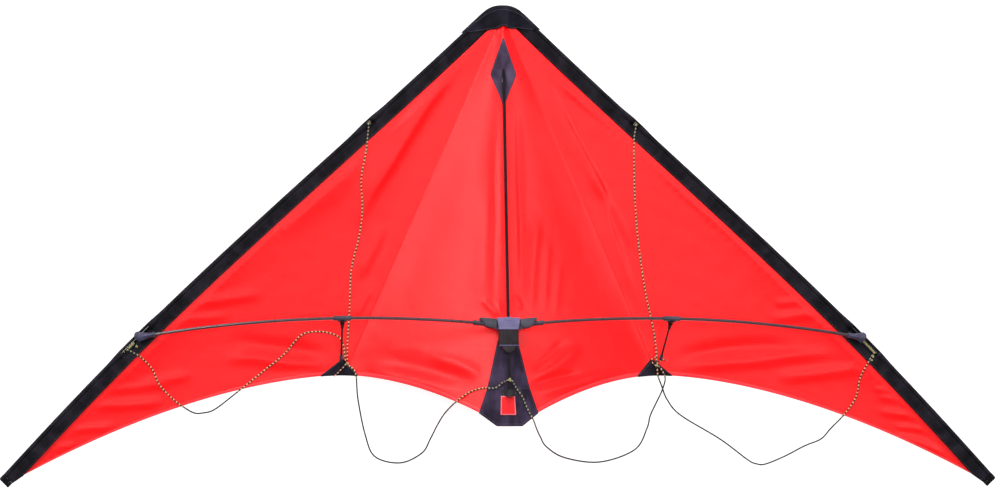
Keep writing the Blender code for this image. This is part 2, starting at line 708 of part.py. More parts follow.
def fold_geometry():
    """Travel of the hub and hinge axes of the right side, from the open and the folded triangle."""
    arm = SPREADER_END - NOSE_PIVOT
    open_angle = math.atan2(arm.x, -arm.y)
    edge_turn = open_angle - FOLDED_EDGE_ANGLE
    folded_end = rotate_about(SPREADER_END, NOSE_PIVOT, Vector((0, 0, 1)), -edge_turn)
    pivot = HUB_CENTRE + Vector((HUB_PIVOT_X, 0, 0))
    length = (SPREADER_END - pivot).length
    travel = HUB_TRAVEL_GUESS
    for _ in range(60):
        here = pivot - SPINE_DIR * travel
        error = (folded_end - here).length - length
        travel -= error * 0.8
    folded_pivot = pivot - SPINE_DIR * travel
    before, after = (SPREADER_END - pivot).normalized(), (folded_end - folded_pivot).normalized()
    change = (after - before).normalized()
    axis = (SPINE_UP - change * SPINE_UP.dot(change)).normalized()
    flat_before = (before - axis * before.dot(axis)).normalized()
    flat_after = (after - axis * after.dot(axis)).normalized()
    spreader_turn = flat_before.angle(flat_after)
    return edge_turn, travel, pivot, axis, spreader_turn


EDGE_TURN, HUB_TRAVEL, ARM_PIVOT, ARM_AXIS, SPREADER_TURN = fold_geometry()


def spreader_curve(count, start=0.0, stop=1.0):
    """Points on the bent spreader of the right side, from the arm's pivot to the saddle."""
    middle_share = (SPREADER_MID.x - ARM_PIVOT.x) / (SPREADER_END.x - ARM_PIVOT.x)
    points = []
    for i in range(count):
        t = start + (stop - start) * i / (count - 1)
        a = (t - middle_share) * (t - 1) / middle_share
        b = t * (t - 1) / (middle_share * (middle_share - 1))
        c = t * (t - middle_share) / (1 - middle_share)
        points.append(ARM_PIVOT * a + SPREADER_MID * b + SPREADER_END * c)
    return points


ARM_DIR = (spreader_curve(24)[1] - ARM_PIVOT).normalized()


def arm_frame(side):
    """Frame of a hub arm: X along the arm, Y towards the tail, Z the hinge axis."""
    axis = mirrored(ARM_AXIS, side)
    along = mirrored(ARM_DIR, side)
    along = (along - axis * along.dot(axis)).normalized()
    tail = axis.cross(along)
    if tail.y > 0:
        tail = -tail
    m = Matrix((along, tail, axis)).transposed().to_4x4()
    m.translation = mirrored(ARM_PIVOT, side)
    return m


def hub_block():
    """The sliding hub: a tapered block on the spine with a tongue for each arm."""
    frame = hub_frame()
    top, bottom = -9.5 * MM, 9.7 * MM
    bm = bmesh.new()
    prism(bm, [(-19 * MM, top), (19 * MM, top), (17.2 * MM, 0.0), (15.5 * MM, bottom),
               (-15.5 * MM, bottom), (-17.2 * MM, 0.0)], -HUB_HALF_THICK, HUB_HALF_THICK, frame)
    obj = finish("hub_block", bm, GREY_PLASTIC)
    for side in (1, -1):
        tongue = [(-14 * MM, -5 * MM), *arc((0, 0), KNUCKLE_R - 0.5 * MM, -90, 90, 10), (-14 * MM, 5 * MM)]
        boolean(obj, cutter(lambda c: prism(c, tongue, -TONGUE_HALF, TONGUE_HALF, arm_frame(side))), "UNION")
    return bored(obj, frame, BORE_R, -20 * MM, 20 * MM)


def hub_grip():
    """The ribbed grip below the hub, which is pulled to open the kite."""
    frame = hub_frame()
    top, bottom, half = 10 * MM, 34.5 * MM, 16 * MM
    ribs = 7
    pitch = 2 * half / ribs
    outline = []
    for k in range(ribs):
        x = -half + pitch * k
        outline += [(x, HUB_HALF_THICK - 0.9 * MM), (x + pitch * 0.25, HUB_HALF_THICK),
                    (x + pitch * 0.75, HUB_HALF_THICK)]
    outline += [(half, HUB_HALF_THICK - 0.9 * MM), (half, -6.5 * MM), (-half, -6.5 * MM)]
    centre, across, up = frame.translation, frame.col[0].to_3d(), frame.col[2].to_3d()
    along = frame.col[1].to_3d()
    frames = [(centre + along * t, across, up) for t in (top, bottom)]
    obj = sweep("hub_grip", frames, lambda i: outline, BLACK_PLASTIC)
    return bored(obj, frame, BORE_R, top - 5 * MM, bottom + 5 * MM)


SOCKET_END = 31 * MM
ROD_IN_SOCKET = 15 * MM


def spreader_arm(side):
    """A hub arm: two cheeks over the hub's tongue, joined to a socket for the spreader."""
    frame = arm_frame(side)
    cheek_gap = TONGUE_HALF + GAP
    outline = [(0.0, KNUCKLE_R), (6 * MM, 6.2 * MM), (12.2 * MM, 3.4 * MM), (21.6 * MM, -7.4 * MM), (19.6 * MM, -8.7 * MM),
               (-5.4 * MM, -8.6 * MM), *arc((0, 0), KNUCKLE_R, -170, -270, 8)[:-1]]
    bm = bmesh.new()
    prism(bm, outline, -7 * MM, 7 * MM, frame)
    obj = finish("spreader_arm_" + side_name(side), bm, BLACK_PLASTIC)
    throat = [(-12 * MM, -14 * MM), (8 * MM, -14 * MM), (8 * MM, 14 * MM), (-12 * MM, 14 * MM)]
    boolean(obj, cutter(lambda c: prism(c, throat, -cheek_gap, cheek_gap, frame)), "DIFFERENCE")
    start = mirrored(ARM_PIVOT, side)
    along = mirrored(ARM_DIR, side)
    boolean(obj, cutter(lambda c: cylinder(c, start + along * 17 * MM, start + along * SOCKET_END, 4.3 * MM, 14)), "UNION")
    return boolean(obj, cutter(lambda c: cylinder(c, start + along * ROD_IN_SOCKET,
                                                 start + along * 40 * MM, SOCKET_BORE_R, 12)), "DIFFERENCE")


SPREADER_ROD_END = 0.975


def spreader_rod(side):
    start = (ROD_IN_SOCKET + GAP) / (SPREADER_END - ARM_PIVOT).length
    points = [mirrored(p, side) for p in spreader_curve(24, start, SPREADER_ROD_END)]
    return tube("spreader_rod_" + side_name(side), points, ROD_R, FIBREGLASS, 2)


def spreader_end(side):
    """The moulded end of the spreader: a socket and a flat eye on the saddle."""
    line = [mirrored(p, side) for p in spreader_curve(40)]
    along = (line[-1] - line[-2]).normalized()
    end = line[-1]
    bm = bmesh.new()
    flat = Vector((along.x, along.y, 0)).normalized()
    frame = Matrix((flat, Vector((-flat.y, flat.x, 0)), Vector((0, 0, 1)))).transposed().to_4x4()
    frame.translation = Vector((end.x, end.y, SADDLE_TOP + GAP))
    eye = [(-16 * MM, -4.6 * MM), *arc((0, 0), 7.2 * MM, -110, 110, 12), (-16 * MM, 4.6 * MM)]
    prism(bm, eye, 0, 9 * MM, frame)
    obj = finish("spreader_end_" + side_name(side), bm, GREY_PLASTIC)
    socket_start = end - along * 23 * MM
    boolean(obj, cutter(lambda c: cylinder(c, socket_start, end - along * 8 * MM, 4.2 * MM, 14)), "UNION")
    rod_stop = mirrored(spreader_curve(2, 0, SPREADER_ROD_END)[1], side)
    back = (mirrored(spreader_curve(2, 0, 0.93)[1], side) - rod_stop).normalized()
    return boolean(obj, cutter(lambda c: cylinder(c, rod_stop - back * GAP, rod_stop + back * 30 * MM,
                                                 SOCKET_BORE_R, 12)), "DIFFERENCE")


def tee_place():
    """Where the stand-off's tee sits on the right spreader: point and direction of the rod."""
    share = (SPREADER_MID.x - ARM_PIVOT.x) / (SPREADER_END.x - ARM_PIVOT.x)
    a, b = spreader_curve(2, share - 0.01, share + 0.01)
    return SPREADER_MID, (b - a).normalized()


def standoff_hinge():
    """Centre of the flexible joint under the tee, and the direction of the stand-off."""
    place, _ = tee_place()
    down = (STANDOFF_FOOT - place).normalized()
    return place + down * STANDOFF_STEM, down


def standoff_tee(side):
    """The moulded tee on the spreader that carries the stand-off."""
    place, along = tee_place()
    hinge, down = standoff_hinge()
    place, along, hinge, down = (mirrored(q, side) for q in (place, along, hinge, down))
    bm = bmesh.new()
    cylinder(bm, place - along * 14 * MM, place + along * 14 * MM, 4.2 * MM, 14)
    obj = finish("standoff_tee_" + side_name(side), bm, GREY_PLASTIC)
    stem_end = hinge - down * (STANDOFF_BALL_R + GAP)
    boolean(obj, cutter(lambda c: cylinder(c, place, stem_end, 7 * MM, 14, 2.6 * MM)), "UNION")
    return boolean(obj, cutter(lambda c: cylinder(c, place - along * 20 * MM, place + along * 20 * MM, BORE_R, 12)),
                   "DIFFERENCE")


def standoff_rod(side):
    """The thin stand-off with a ball at its flexible joint."""
    hinge, down = standoff_hinge()
    hinge, down, foot = (mirrored(q, side) for q in (hinge, down, STANDOFF_FOOT))
    bm = bmesh.new()
    made = bmesh.ops.create_uvsphere(bm, u_segments=10, v_segments=8, radius=STANDOFF_BALL_R)
    bmesh.ops.translate(bm, vec=hinge, verts=made["verts"])
    obj = finish("standoff_rod_" + side_name(side), bm, FIBREGLASS)
    return boolean(obj, cutter(lambda c: cylinder(c, hinge + down * 0.4 * MM, foot, STANDOFF_ROD_R, 8)), "UNION")


FOOT_LENGTH = 11 * MM


def standoff_foot(side):
    """The soft cap on the stand-off's lower end."""
    hinge, down = standoff_hinge()
    hinge, down, foot = (mirrored(q, side) for q in (hinge, down, STANDOFF_FOOT))
    bm = bmesh.new()
    cylinder(bm, foot - down * FOOT_LENGTH, foot + down * 1.2 * MM, 2.8 * MM, 12, 2.2 * MM)
    obj = finish("standoff_foot_" + side_name(side), bm, BLACK_PLASTIC)
    return boolean(obj, cutter(lambda c: cylinder(c, foot - down * 20 * MM, foot + down * GAP,
                                                 STANDOFF_ROD_R + GAP, 8)), "DIFFERENCE")


# The bridle: cords that lie on the sail and the floor

CORD_LIFT = 2.4 * MM               # cord's axis over the sail's middle surface
PATCH_COVER = 1.7 * MM             # more over a patch
CORD_FLOOR = CORD_R + 0.2 * MM
KNOT_R = 2.8 * MM
TOW_KNOT_LEFT = (-250, -191)
TOW_KNOT_RIGHT = (253.9, -194.1)
TAIL_KNOT = (0, -212)


def over_edge(x, y):
    """Lowest height for a cord's axis over a leading edge, or None beside it."""
    place = Vector((abs(x), y - SAIL_TOP_Y, 0))
    v = place.dot(EDGE_DIR) / EDGE_LENGTH
    out = place.dot(EDGE_OUT) - edge_bow(v)
    if out < -3 * MM or out > SLEEVE_WIDTH + 3 * MM or not 0 < v < END_V:
        return None
    if out > ROD_OUT - 4.5 * MM:
        return edge_z(v) + ROD_R + CORD_R + 1.5 * GAP
    return edge_z(v) + FLANGE_THICK / 2 + CORD_R + 1.5 * GAP


def over_sail(x, y):
    """Lowest height for a cord's axis above a plan position."""
    half = abs(x)
    edge = over_edge(x, y)
    if edge is not None:
        return edge
    if half < 4.5 * MM and y > SPINE_END_Y - 8 * MM:
        return spine_z(y) + ROD_R + CORD_R + 1.5 * GAP
    on_tail = half < tail_patch_half(y + 3 * MM) + 4 * MM and y < TAIL_PATCH_CORNERS[0][0] * MM
    if not on_tail and (half > WING_TIP_X or y < trailing_y(half) - 4 * MM):
        return CORD_FLOOR
    lift = CORD_LIFT
    if abs(half - STANDOFF_X) < 30 * MM and y < STANDOFF_Y + 34 * MM:
        lift += PATCH_COVER
    if on_tail:
        lift += PATCH_COVER + 2 * GAP
    return max(CORD_FLOOR, sail_z(x, y) + lift)


def laid_line(route, count):
    """A smooth line through plan points in mm; a third number lifts the point over its support."""
    points = []
    for x, y, *lift in route:
        z = over_sail(x * MM, y * MM) + (lift[0] * MM if lift else 0)
        points.append(Vector((x * MM, y * MM, z)))
    line = smooth_line(points, count)
    for p in line:
        p.z = max(p.z, over_sail(p.x, p.y))
    return line


def laid_cord(name, route, count=80):
    return tube(name, laid_line(route, count), CORD_R, CORD)


def knot(name, place, height):
    """A tied knot as a small round body."""
    bm = bmesh.new()
    made = bmesh.ops.create_icosphere(bm, subdivisions=2, radius=KNOT_R)
    x, y = place[0] * MM, place[1] * MM
    bmesh.ops.translate(bm, vec=(x, y, over_sail(x, y) + height * MM), verts=made["verts"])
    return finish(name, bm, CORD)


def bridle():
    laid_cord("bridle_upper_left", [(-217.5, 197.5), (-217.5, 190), (-219, 175), (-221.5, 151), (-229, 108), (-227, 57), (-232, 13), (-244, -40),
                                    (-247, -110), (-249.5, -155), (-250, -180), (-250, -187.2)])
    laid_cord("bridle_outer_left", [(-606, -168), (-598, -172), (-583, -181), (-565, -200), (-554, -224), (-534, -246), (-516, -260),
                                    (-497, -271), (-482, -271), (-463, -265), (-426, -236), (-389, -206),
                                    (-352, -176), (-337, -158), (-322, -143.5), (-300, -139.5), (-278, -142),
                                    (-262, -150), (-256, -163), (-254, -180), (-252.5, -187.3)])
    laid_cord("bridle_inner_left", [(-247, -194.5), (-237, -207), (-232, -250), (-220, -307), (-204, -342),
                                    (-163, -352), (-128, -336, 1), (-116, -313, 16), (-107, -289, 44),
                                    (-97, -268, 72), (-81, -247), (-61, -232.5), (-41, -226), (-22, -225.6),
                                    (-11, -217), (-4, -213)])
    laid_cord("bridle_upper_right", [(217.5, 197.5), (216.5, 190), (214.5, 175), (214, 152), (216.5, 75), (222, 10), (234, -71), (249, -140),
                                     (253, -175), (253.5, -189)])
    laid_cord("bridle_outer_right", [(608, -171), (603, -179), (596, -192), (585.5, -214), (579.5, -245), (560, -274),
                                     (539.5, -298), (524.5, -314), (498, -325), (465, -342), (434, -354.5),
                                     (420, -354.5), (405, -348), (359, -314), (294, -275), (272, -250),
                                     (262, -226), (255.5, -210), (254.5, -197)])
    laid_cord("bridle_inner_right", [(4, -213), (11, -225), (21.5, -240), (27, -254), (34, -268), (40, -278, 131), (50, -293, 80),
                                     (60, -308, 44), (74, -326, 10), (105, -344), (162, -351), (219, -331),
                                     (239, -296), (244, -276), (256, -250, 1.5), (262, -237, 2.8), (268, -217, 2.8),
                                     (263, -203, 1), (257.5, -195.5)])
    knot("tow_knot_left", TOW_KNOT_LEFT, 1.4)
    knot("tow_knot_right", TOW_KNOT_RIGHT, 0.7)
    knot("tail_knot", TAIL_KNOT, KNOT_R / MM - 0.8)


for kite_side in (1, -1):
    sail_half(kite_side)
    standoff_patch(kite_side)
    edge_sleeve(kite_side)
    edge_rod(kite_side)
    tip_cap(kite_side)
    edge_saddle(kite_side)
    spreader_arm(kite_side)
    spreader_rod(kite_side)
    spreader_end(kite_side)
    standoff_tee(kite_side)
    standoff_rod(kite_side)
    standoff_foot(kite_side)
diamond_patch()
tail_patch()
tail_tag()
nose_patch()
spine_parts()
spine_collar()
tail_loop()
hub_block()
hub_grip()
bridle()
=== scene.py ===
"""Looks of the pop-up stunt kite, lying on its back on a pale studio floor.

The red sail is ripstop nylon on black nylon sleeves. The hub, its arms, the saddles and the tees
are moulded plastic. The bridle is a thin braided cord that lies on the sail and on the floor.
"""

import json
import math

import bmesh
import bpy
import numpy as np
from mathutils import Matrix, Vector


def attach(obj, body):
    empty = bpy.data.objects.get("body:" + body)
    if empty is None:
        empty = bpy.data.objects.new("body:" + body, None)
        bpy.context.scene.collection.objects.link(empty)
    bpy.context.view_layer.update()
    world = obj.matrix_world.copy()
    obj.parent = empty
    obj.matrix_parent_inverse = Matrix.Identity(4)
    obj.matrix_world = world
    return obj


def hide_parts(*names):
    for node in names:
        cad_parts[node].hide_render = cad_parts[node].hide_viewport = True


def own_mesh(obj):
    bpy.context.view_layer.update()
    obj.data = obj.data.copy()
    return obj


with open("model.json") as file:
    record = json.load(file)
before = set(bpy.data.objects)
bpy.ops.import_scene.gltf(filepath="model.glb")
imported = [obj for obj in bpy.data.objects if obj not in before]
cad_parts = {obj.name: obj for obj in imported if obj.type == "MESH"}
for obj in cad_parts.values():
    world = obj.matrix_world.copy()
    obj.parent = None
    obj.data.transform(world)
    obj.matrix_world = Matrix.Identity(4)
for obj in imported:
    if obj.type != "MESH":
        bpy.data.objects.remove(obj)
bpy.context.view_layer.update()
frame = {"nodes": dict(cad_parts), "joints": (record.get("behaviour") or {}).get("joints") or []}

MM = 0.001
GAP = 0.3 * MM

# Sizes of the sail, as in the part's source

SAIL_TOP_Y = 373 * MM
TAIL_Y = -276 * MM
TAIL_CORNER_X = 47.5 * MM
TAIL_CORNER_Y = -264 * MM
STANDOFF_X = 254 * MM
STANDOFF_Y = -209 * MM
WING_TIP_X = 772 * MM
WING_TIP_Y = -370 * MM
INNER_EDGE_POWER = 1.9
OUTER_EDGE_POWER = 1.724
EDGE_BOW = 13.6 * MM
EDGE_BOW_POWER = 1.6
SEWN_TOP_Z = 7.6 * MM
TAIL_Z = 147 * MM
STANDOFF_Z = 3.85 * MM
WING_TIP_Z = 24 * MM
RIDGE_ROUND = 0.12
CREASE_ROUND = 4 * MM
RIDGE_REACH = 90 * MM
EDGE_LIFT_POWER = 6
SAIL_FIRST_V = 0.018
SLOT_HALF = 3.2 * MM
SLOT_TOP_Y = 301 * MM
SLOT_END_Y = 250 * MM
SLOT_BLEND = 110 * MM

# Sizes of the spine, the leading edges, the hub and the bridle, as in the part's source

ROD_R = 2.5 * MM
SPINE_TOP_Y = 376 * MM
SPINE_END_Y = -238 * MM
SPINE_TOP_Z = 4.2 * MM
SPINE_SLOPE = 0.2285
SLEEVE_WIDTH = 23.6 * MM
SLEEVE_R = 4 * MM
FLANGE_THICK = 1.6 * MM
SLEEVE_OVERRUN = 21 * MM
TIP_NARROWING = 4.5 * MM
EDGE_NOSE_Z = 5.6 * MM
EDGE_RISE = 18.4 * MM
EDGE_RISE_SHARE = 0.8
NOSE_PIVOT_X = 27 * MM
SADDLE_ALONG = 0.731
SADDLE_SLOT = (22 * MM, 38 * MM)
SADDLE_ROOM = 1.5 * MM
UPPER_KNOT_ALONG = 0.26
KNOT_SLOT = (7 * MM, 7 * MM)
HUB_Y = -124 * MM
HUB_PIVOT_X = 26 * MM
SPREADER_END = Vector((583 * MM, -147 * MM, 36.5 * MM))
SPREADER_MID = Vector((265 * MM, -115 * MM, 106 * MM))
SADDLE_TOP = SPREADER_END.z - 5.6 * MM
STANDOFF_FOOT = Vector((260 * MM, -184 * MM, 8.6 * MM))
CORD_R = 1.0 * MM
CORD_LOOK_R = 1.2 * MM
CORD_LIFT = 2.4 * MM
PATCH_COVER = 1.7 * MM
CORD_FLOOR = CORD_R + 0.2 * MM
KNOT_R = 2.8 * MM
TAIL_PATCH_CORNERS = [(-150, 16), (-226, 34), (-266, 47.8), (-286, 20.7)]

CLOTH_THICK = 0.6 * MM
SIDES = {"left": -1, "right": 1}


# The sail as a surface over the floor

def ease(value):
    """Smooth step from 0 to 1."""
    t = np.clip(value, 0, 1)
    return t * t * (3 - 2 * t)


def trailing_y(x):
    """Y of the trailing edge at a distance x from the middle of the kite."""
    middle = TAIL_Y + (TAIL_CORNER_Y - TAIL_Y) * x / TAIL_CORNER_X
    inner_share = np.clip((STANDOFF_X - x) / (STANDOFF_X - TAIL_CORNER_X), 0, None)
    outer_share = np.clip((x - STANDOFF_X) / (WING_TIP_X - STANDOFF_X), 0, None)
    inner = STANDOFF_Y + (TAIL_CORNER_Y - STANDOFF_Y) * inner_share ** INNER_EDGE_POWER
    outer = STANDOFF_Y + (WING_TIP_Y - STANDOFF_Y) * outer_share ** OUTER_EDGE_POWER
    return np.where(x < TAIL_CORNER_X, middle, np.where(x < STANDOFF_X, inner, outer))


def trailing_z(x):
    """Height of the trailing edge: a ridge at the spine, a valley at the stand-off."""
    drop = np.hypot(x / STANDOFF_X, RIDGE_ROUND) - RIDGE_ROUND
    drop = drop / (math.hypot(1, RIDGE_ROUND) - RIDGE_ROUND)
    inner = TAIL_Z + (STANDOFF_Z - TAIL_Z) * drop
    outer = STANDOFF_Z + (WING_TIP_Z - STANDOFF_Z) * (x - STANDOFF_X) / (WING_TIP_X - STANDOFF_X)
    half = (inner - outer) / 2
    return (inner + outer) / 2 + np.hypot(half, CREASE_ROUND) - CREASE_ROUND


def spine_z(y):
    return SPINE_TOP_Z + SPINE_SLOPE * (SPINE_TOP_Y - y)


def seam_z(y):
    """Height of the sail's middle seam, which crosses the spine at the diamond patch."""
    down = (SAIL_TOP_Y - y) / MM
    offset = 3.7 - 8.9 * ease((down - 76) / 42) - 7 * ease((down - 118) / 140) + 7.2 * ease((down - 520) / 80)
    return spine_z(y) + offset * MM


def edge_z(v):
    """Height of the leading edge's rod at a share v of its length."""
    return EDGE_NOSE_Z + EDGE_RISE * (1 - np.cos(np.pi * np.clip(v / EDGE_RISE_SHARE, 0, 1))) / 2


def ray_of(x, y):
    """Where the ray from the sail's top through a point meets the trailing edge: (x there, share)."""
    down = np.maximum(SAIL_TOP_Y - y, 1e-6)
    low = np.zeros_like(down)
    high = np.full_like(down, WING_TIP_X * 1.08)
    for _ in range(36):
        middle = (low + high) / 2
        short = middle / (SAIL_TOP_Y - trailing_y(middle)) < x / down
        low = np.where(short, middle, low)
        high = np.where(short, high, middle)
    return low, down / (SAIL_TOP_Y - trailing_y(low))


EDGE_CHORD = np.array([WING_TIP_X, WING_TIP_Y - SAIL_TOP_Y, 0.0])
EDGE_LENGTH = float(np.linalg.norm(EDGE_CHORD))
EDGE_DIR = EDGE_CHORD / EDGE_LENGTH
EDGE_OUT = np.array([-EDGE_DIR[1], EDGE_DIR[0], 0.0])
ROD_OUT = SLEEVE_WIDTH - SLEEVE_R
NOSE_V = (NOSE_PIVOT_X - EDGE_OUT[0] * ROD_OUT) / EDGE_CHORD[0]
END_V = 1 + SLEEVE_OVERRUN / EDGE_LENGTH


def edge_bow(v):
    """How far the bent leading edge stands out of its chord; straight on past the sail's end."""
    bow = EDGE_BOW * np.sin(np.pi * np.clip(v, 0, 1) ** EDGE_BOW_POWER)
    return bow - EDGE_BOW * np.pi * EDGE_BOW_POWER * np.maximum(0.0, v - 1)


def edge_place(x, y):
    """Share along the leading edge and distance out from its seam, of a point in plan."""
    along = (np.abs(x) * EDGE_DIR[0] + (y - SAIL_TOP_Y) * EDGE_DIR[1]) / EDGE_LENGTH
    out = np.abs(x) * EDGE_OUT[0] + (y - SAIL_TOP_Y) * EDGE_OUT[1] - edge_bow(along)
    return along, out


def edge_points(v, out, up, side):
    """Points on a leading edge: share v along the seam, out from the seam, up from the rod's axis."""
    v, out, up = np.broadcast_arrays(v, out, up)
    flat = (v[..., None] * EDGE_CHORD) + (edge_bow(v) + out)[..., None] * EDGE_OUT
    return np.stack([flat[..., 0] * side, flat[..., 1] + SAIL_TOP_Y, edge_z(v) + up], axis=-1)


def edge_plan(v, out, side):
    """Plan position in mm on a leading edge."""
    return tuple(edge_points(v, out, 0.0, side)[:2] / MM)


# Folds of the cloth, in mm in plan: height, half widths left and right of the line as one walks
# along it, and the line. A minus sign makes a hollow.

FOLDS = [
    # long folds from the nose to the stand-offs
    (4.2, 9, 26, [(-64, 313), (-90, 271), (-121, 229), (-153, 178), (-182, 130), (-211, 84), (-243, 21)]),
    (3.6, 7, 20, [(56, 317), (79, 252), (107, 191), (136, 139), (160, 91), (175, 34), (196, -23),
                  (226, -107)]),
    (1.8, 7, 9, [(138, 132), (174, 74), (196, 36), (214, -12)]),
    (1.6, 9, 12, [(-188, 40), (-203, 4), (-219, -27), (-235, -62)]),
    (1.3, 7, 9, [(-206, -60), (-226, -95), (-240, -124)]),
    # the soft valley between the inner and the outer cloth
    (3.0, 24, 24, [(-30, 304), (-90, 167), (-150, 29), (-240, -177)]),
    (3.0, 24, 24, [(30, 304), (90, 167), (150, 29), (240, -177)]),
    # swells beside the leading edges
    (2.6, 26, 14, [(-190, 172), (-212, 154), (-244, 125), (-279, 95), (-321, 63), (-375, 14)]),
    (2.4, 7, 9, [(80, 280), (134, 236), (178, 201), (214, 172)]),
    (3.0, 9, 8, [(214, 165), (265, 122), (317, 73), (361, 39), (404, -1), (455, -56)]),
    # gathers along the spine
    (-1.7, 6, 6, [(-9, 228), (-15, 138), (-17, 42), (-20, -38), (-23, -100)]),
    (2.2, 12, 16, [(-27, 100), (-34, -22), (-38, -112)]),
    (-2.0, 7, 5, [(24, 250), (23, 171), (24, 90), (25, 10), (23, -92)]),
    (2.4, 9, 11, [(54, 60), (46, -16), (41, -70), (38, -118)]),
    (1.4, 6, 8, [(72, 20), (65, -62), (62, -112)]),
    (0.9, 6, 8, [(92, -20), (84, -80), (80, -118)]),
    (2.2, 5, 6, [(-40, -82), (-25, -99), (-11, -112)]),
    (1.6, 4, 5, [(-17, -84), (-12, -99), (-6, -112)]),
    (2.0, 5, 5, [(12, -78), (18, -91), (24, -104)]),
    # ripples above the trailing edge, inner left
    (2.8, 11, 12, [(-232, -196), (-184, -207), (-127, -220), (-72, -233)]),
    (-2.4, 12, 12, [(-204, -184), (-145, -193), (-97, -206), (-44, -222)]),
    (2.6, 10, 11, [(-130, -172), (-91, -184), (-60, -196), (-36, -214)]),
    (1.0, 8, 8, [(-208, -176), (-164, -163), (-135, -167), (-108, -180)]),
    # ripples above the trailing edge, inner right
    (2.8, 10, 12, [(33, -213), (66, -198), (97, -179), (126, -154)]),
    (-3.0, 6, 8, [(30, -226), (60, -214), (89, -208), (128, -204)]),
    (-1.8, 8, 8, [(36, -199), (61, -183), (83, -163), (104, -147)]),
    (2.4, 8, 8, [(34, -238), (78, -228), (137, -213), (182, -202)]),
    # ripples of the outer left wing
    (1.8, 9, 8, [(-512, -95), (-464, -90), (-432, -85), (-380, -78)]),
    (1.5, 7, 7, [(-532, -120), (-480, -118), (-436, -113)]),
    (-2.2, 12, 12, [(-452, -150), (-385, -161), (-330, -169), (-272, -177)]),
    (2.4, 8, 10, [(-460, -182), (-401, -182), (-346, -190), (-272, -193)]),
    (1.8, 9, 8, [(-420, -234), (-347, -220), (-288, -207)]),
    (2.0, 8, 7, [(-668, -259), (-604, -258), (-538, -252)]),
    (1.6, 6, 6, [(-704, -297), (-664, -295), (-620, -292)]),
    (1.0, 5, 5, [(-732, -326), (-684, -322)]),
    (1.5, 8, 8, [(-594, -226), (-544, -217), (-494, -208)]),
    (1.1, 6, 6, [(-640, -234), (-584, -229), (-528, -226)]),
    # ripples of the outer right wing
    (1.8, 8, 7, [(434, -119), (502, -110), (530, -106)]),
    (1.3, 6, 6, [(444, -95), (490, -87)]),
    (3.0, 10, 9, [(274, -198), (346, -192), (414, -187), (476, -178), (560, -172)]),
    (-2.4, 11, 10, [(278, -184), (329, -172), (381, -164), (435, -161), (486, -164)]),
    (2.4, 9, 9, [(440, -215), (517, -207), (598, -196)]),
    (1.4, 5, 5, [(604, -232), (655, -235)]),
    (1.3, 5, 5, [(612, -245), (662, -248)]),
    (1.8, 6, 6, [(612, -268), (690, -277)]),
    (1.4, 5, 5, [(640, -293), (702, -298)]),
    (2.4, 8, 7, [(636, -306), (687, -321), (734, -342)]),
]
FOLD_DEEP = 1.25                   # all folds together, deeper than listed
FOLD_END = 0.3                     # share of a fold's line over which it fades at each end
CRUMPLE_UP = 0.22 * MM
PUCKER_UP = 0.35 * MM              # small gathers beside the leading-edge seam
PUCKER_PITCH = 13 * MM


def rounded_line(points, steps=5):
    """More points on a smooth curve through the given ones."""
    ends = [2 * points[0] - points[1], *points, 2 * points[-1] - points[-2]]
    line = []
    for a, b, c, d in zip(ends, ends[1:], ends[2:], ends[3:]):
        for t in np.arange(steps) / steps:
            line.append(0.5 * (2 * b + (c - a) * t + (2 * a - 5 * b + 4 * c - d) * t * t
                               + (3 * b - a - 3 * c + d) * t ** 3))
    return np.array([*line, points[-1]])


def fold_height(x, y, height, left, right, points):
    """Height that one fold adds to the cloth."""
    line = rounded_line([np.array(p) * MM for p in points])
    reach = 3 * max(left, right) * MM
    low, high = line.min(0) - reach, line.max(0) + reach
    near = (x > low[0]) & (x < high[0]) & (y > low[1]) & (y < high[1])
    added = np.zeros_like(x)
    px, py = x[near], y[near]
    if not len(px):
        return added
    best = np.full_like(px, 1e9)
    share, signed = np.zeros_like(px), np.zeros_like(px)
    spans = np.linalg.norm(np.diff(line, axis=0), axis=1)
    starts = np.concatenate([[0], np.cumsum(spans)])
    for (ax, ay), (bx, by), span, start in zip(line, line[1:], spans, starts):
        ux, uy = (bx - ax) / span, (by - ay) / span
        along = np.clip((px - ax) * ux + (py - ay) * uy, 0, span)
        dx, dy = px - ax - ux * along, py - ay - uy * along
        far = np.hypot(dx, dy)
        closer = far < best
        best = np.where(closer, far, best)
        share = np.where(closer, (start + along) / starts[-1], share)
        signed = np.where(closer, np.where(ux * dy - uy * dx > 0, far, -far), signed)
    width = np.where(signed > 0, left, right) * MM
    fade = ease(np.minimum(share, 1 - share) / FOLD_END)
    added[near] = FOLD_DEEP * height * MM * fade * np.exp(-(signed / width) ** 2)
    return added


def crumple(x, y):
    """Small random-looking waves of a cloth that has been packed and opened, up to 1."""
    wave = np.zeros_like(x)
    for k in range(9):
        turn = 0.7 + 1.9 * k
        pitch = (26 + 7 * ((k * 5) % 9)) * MM
        bend = 6 * MM * np.sin(2 * np.pi * (x * math.sin(turn) - y * math.cos(turn)) / (3.1 * pitch) + k)
        wave += np.sin(2 * np.pi * (x * math.cos(turn) + y * math.sin(turn) + bend) / pitch + 2.4 * k)
    return wave / 9


def fold_relief(x, y):
    """Height of all folds, none at the leading-edge seam where the cloth is held."""
    relief = crumple(x, y) * CRUMPLE_UP
    for fold in FOLDS:
        relief = relief + fold_height(x, y, *fold)
    along, out = edge_place(x, y)
    pucker = np.sin(2 * np.pi * along * EDGE_LENGTH / PUCKER_PITCH + 2 * np.sin(along * 61))
    relief = relief + PUCKER_UP * pucker * np.exp(-((out + 12 * MM) / (9 * MM)) ** 2)
    return relief * ease((-out - 4 * MM) / (16 * MM))


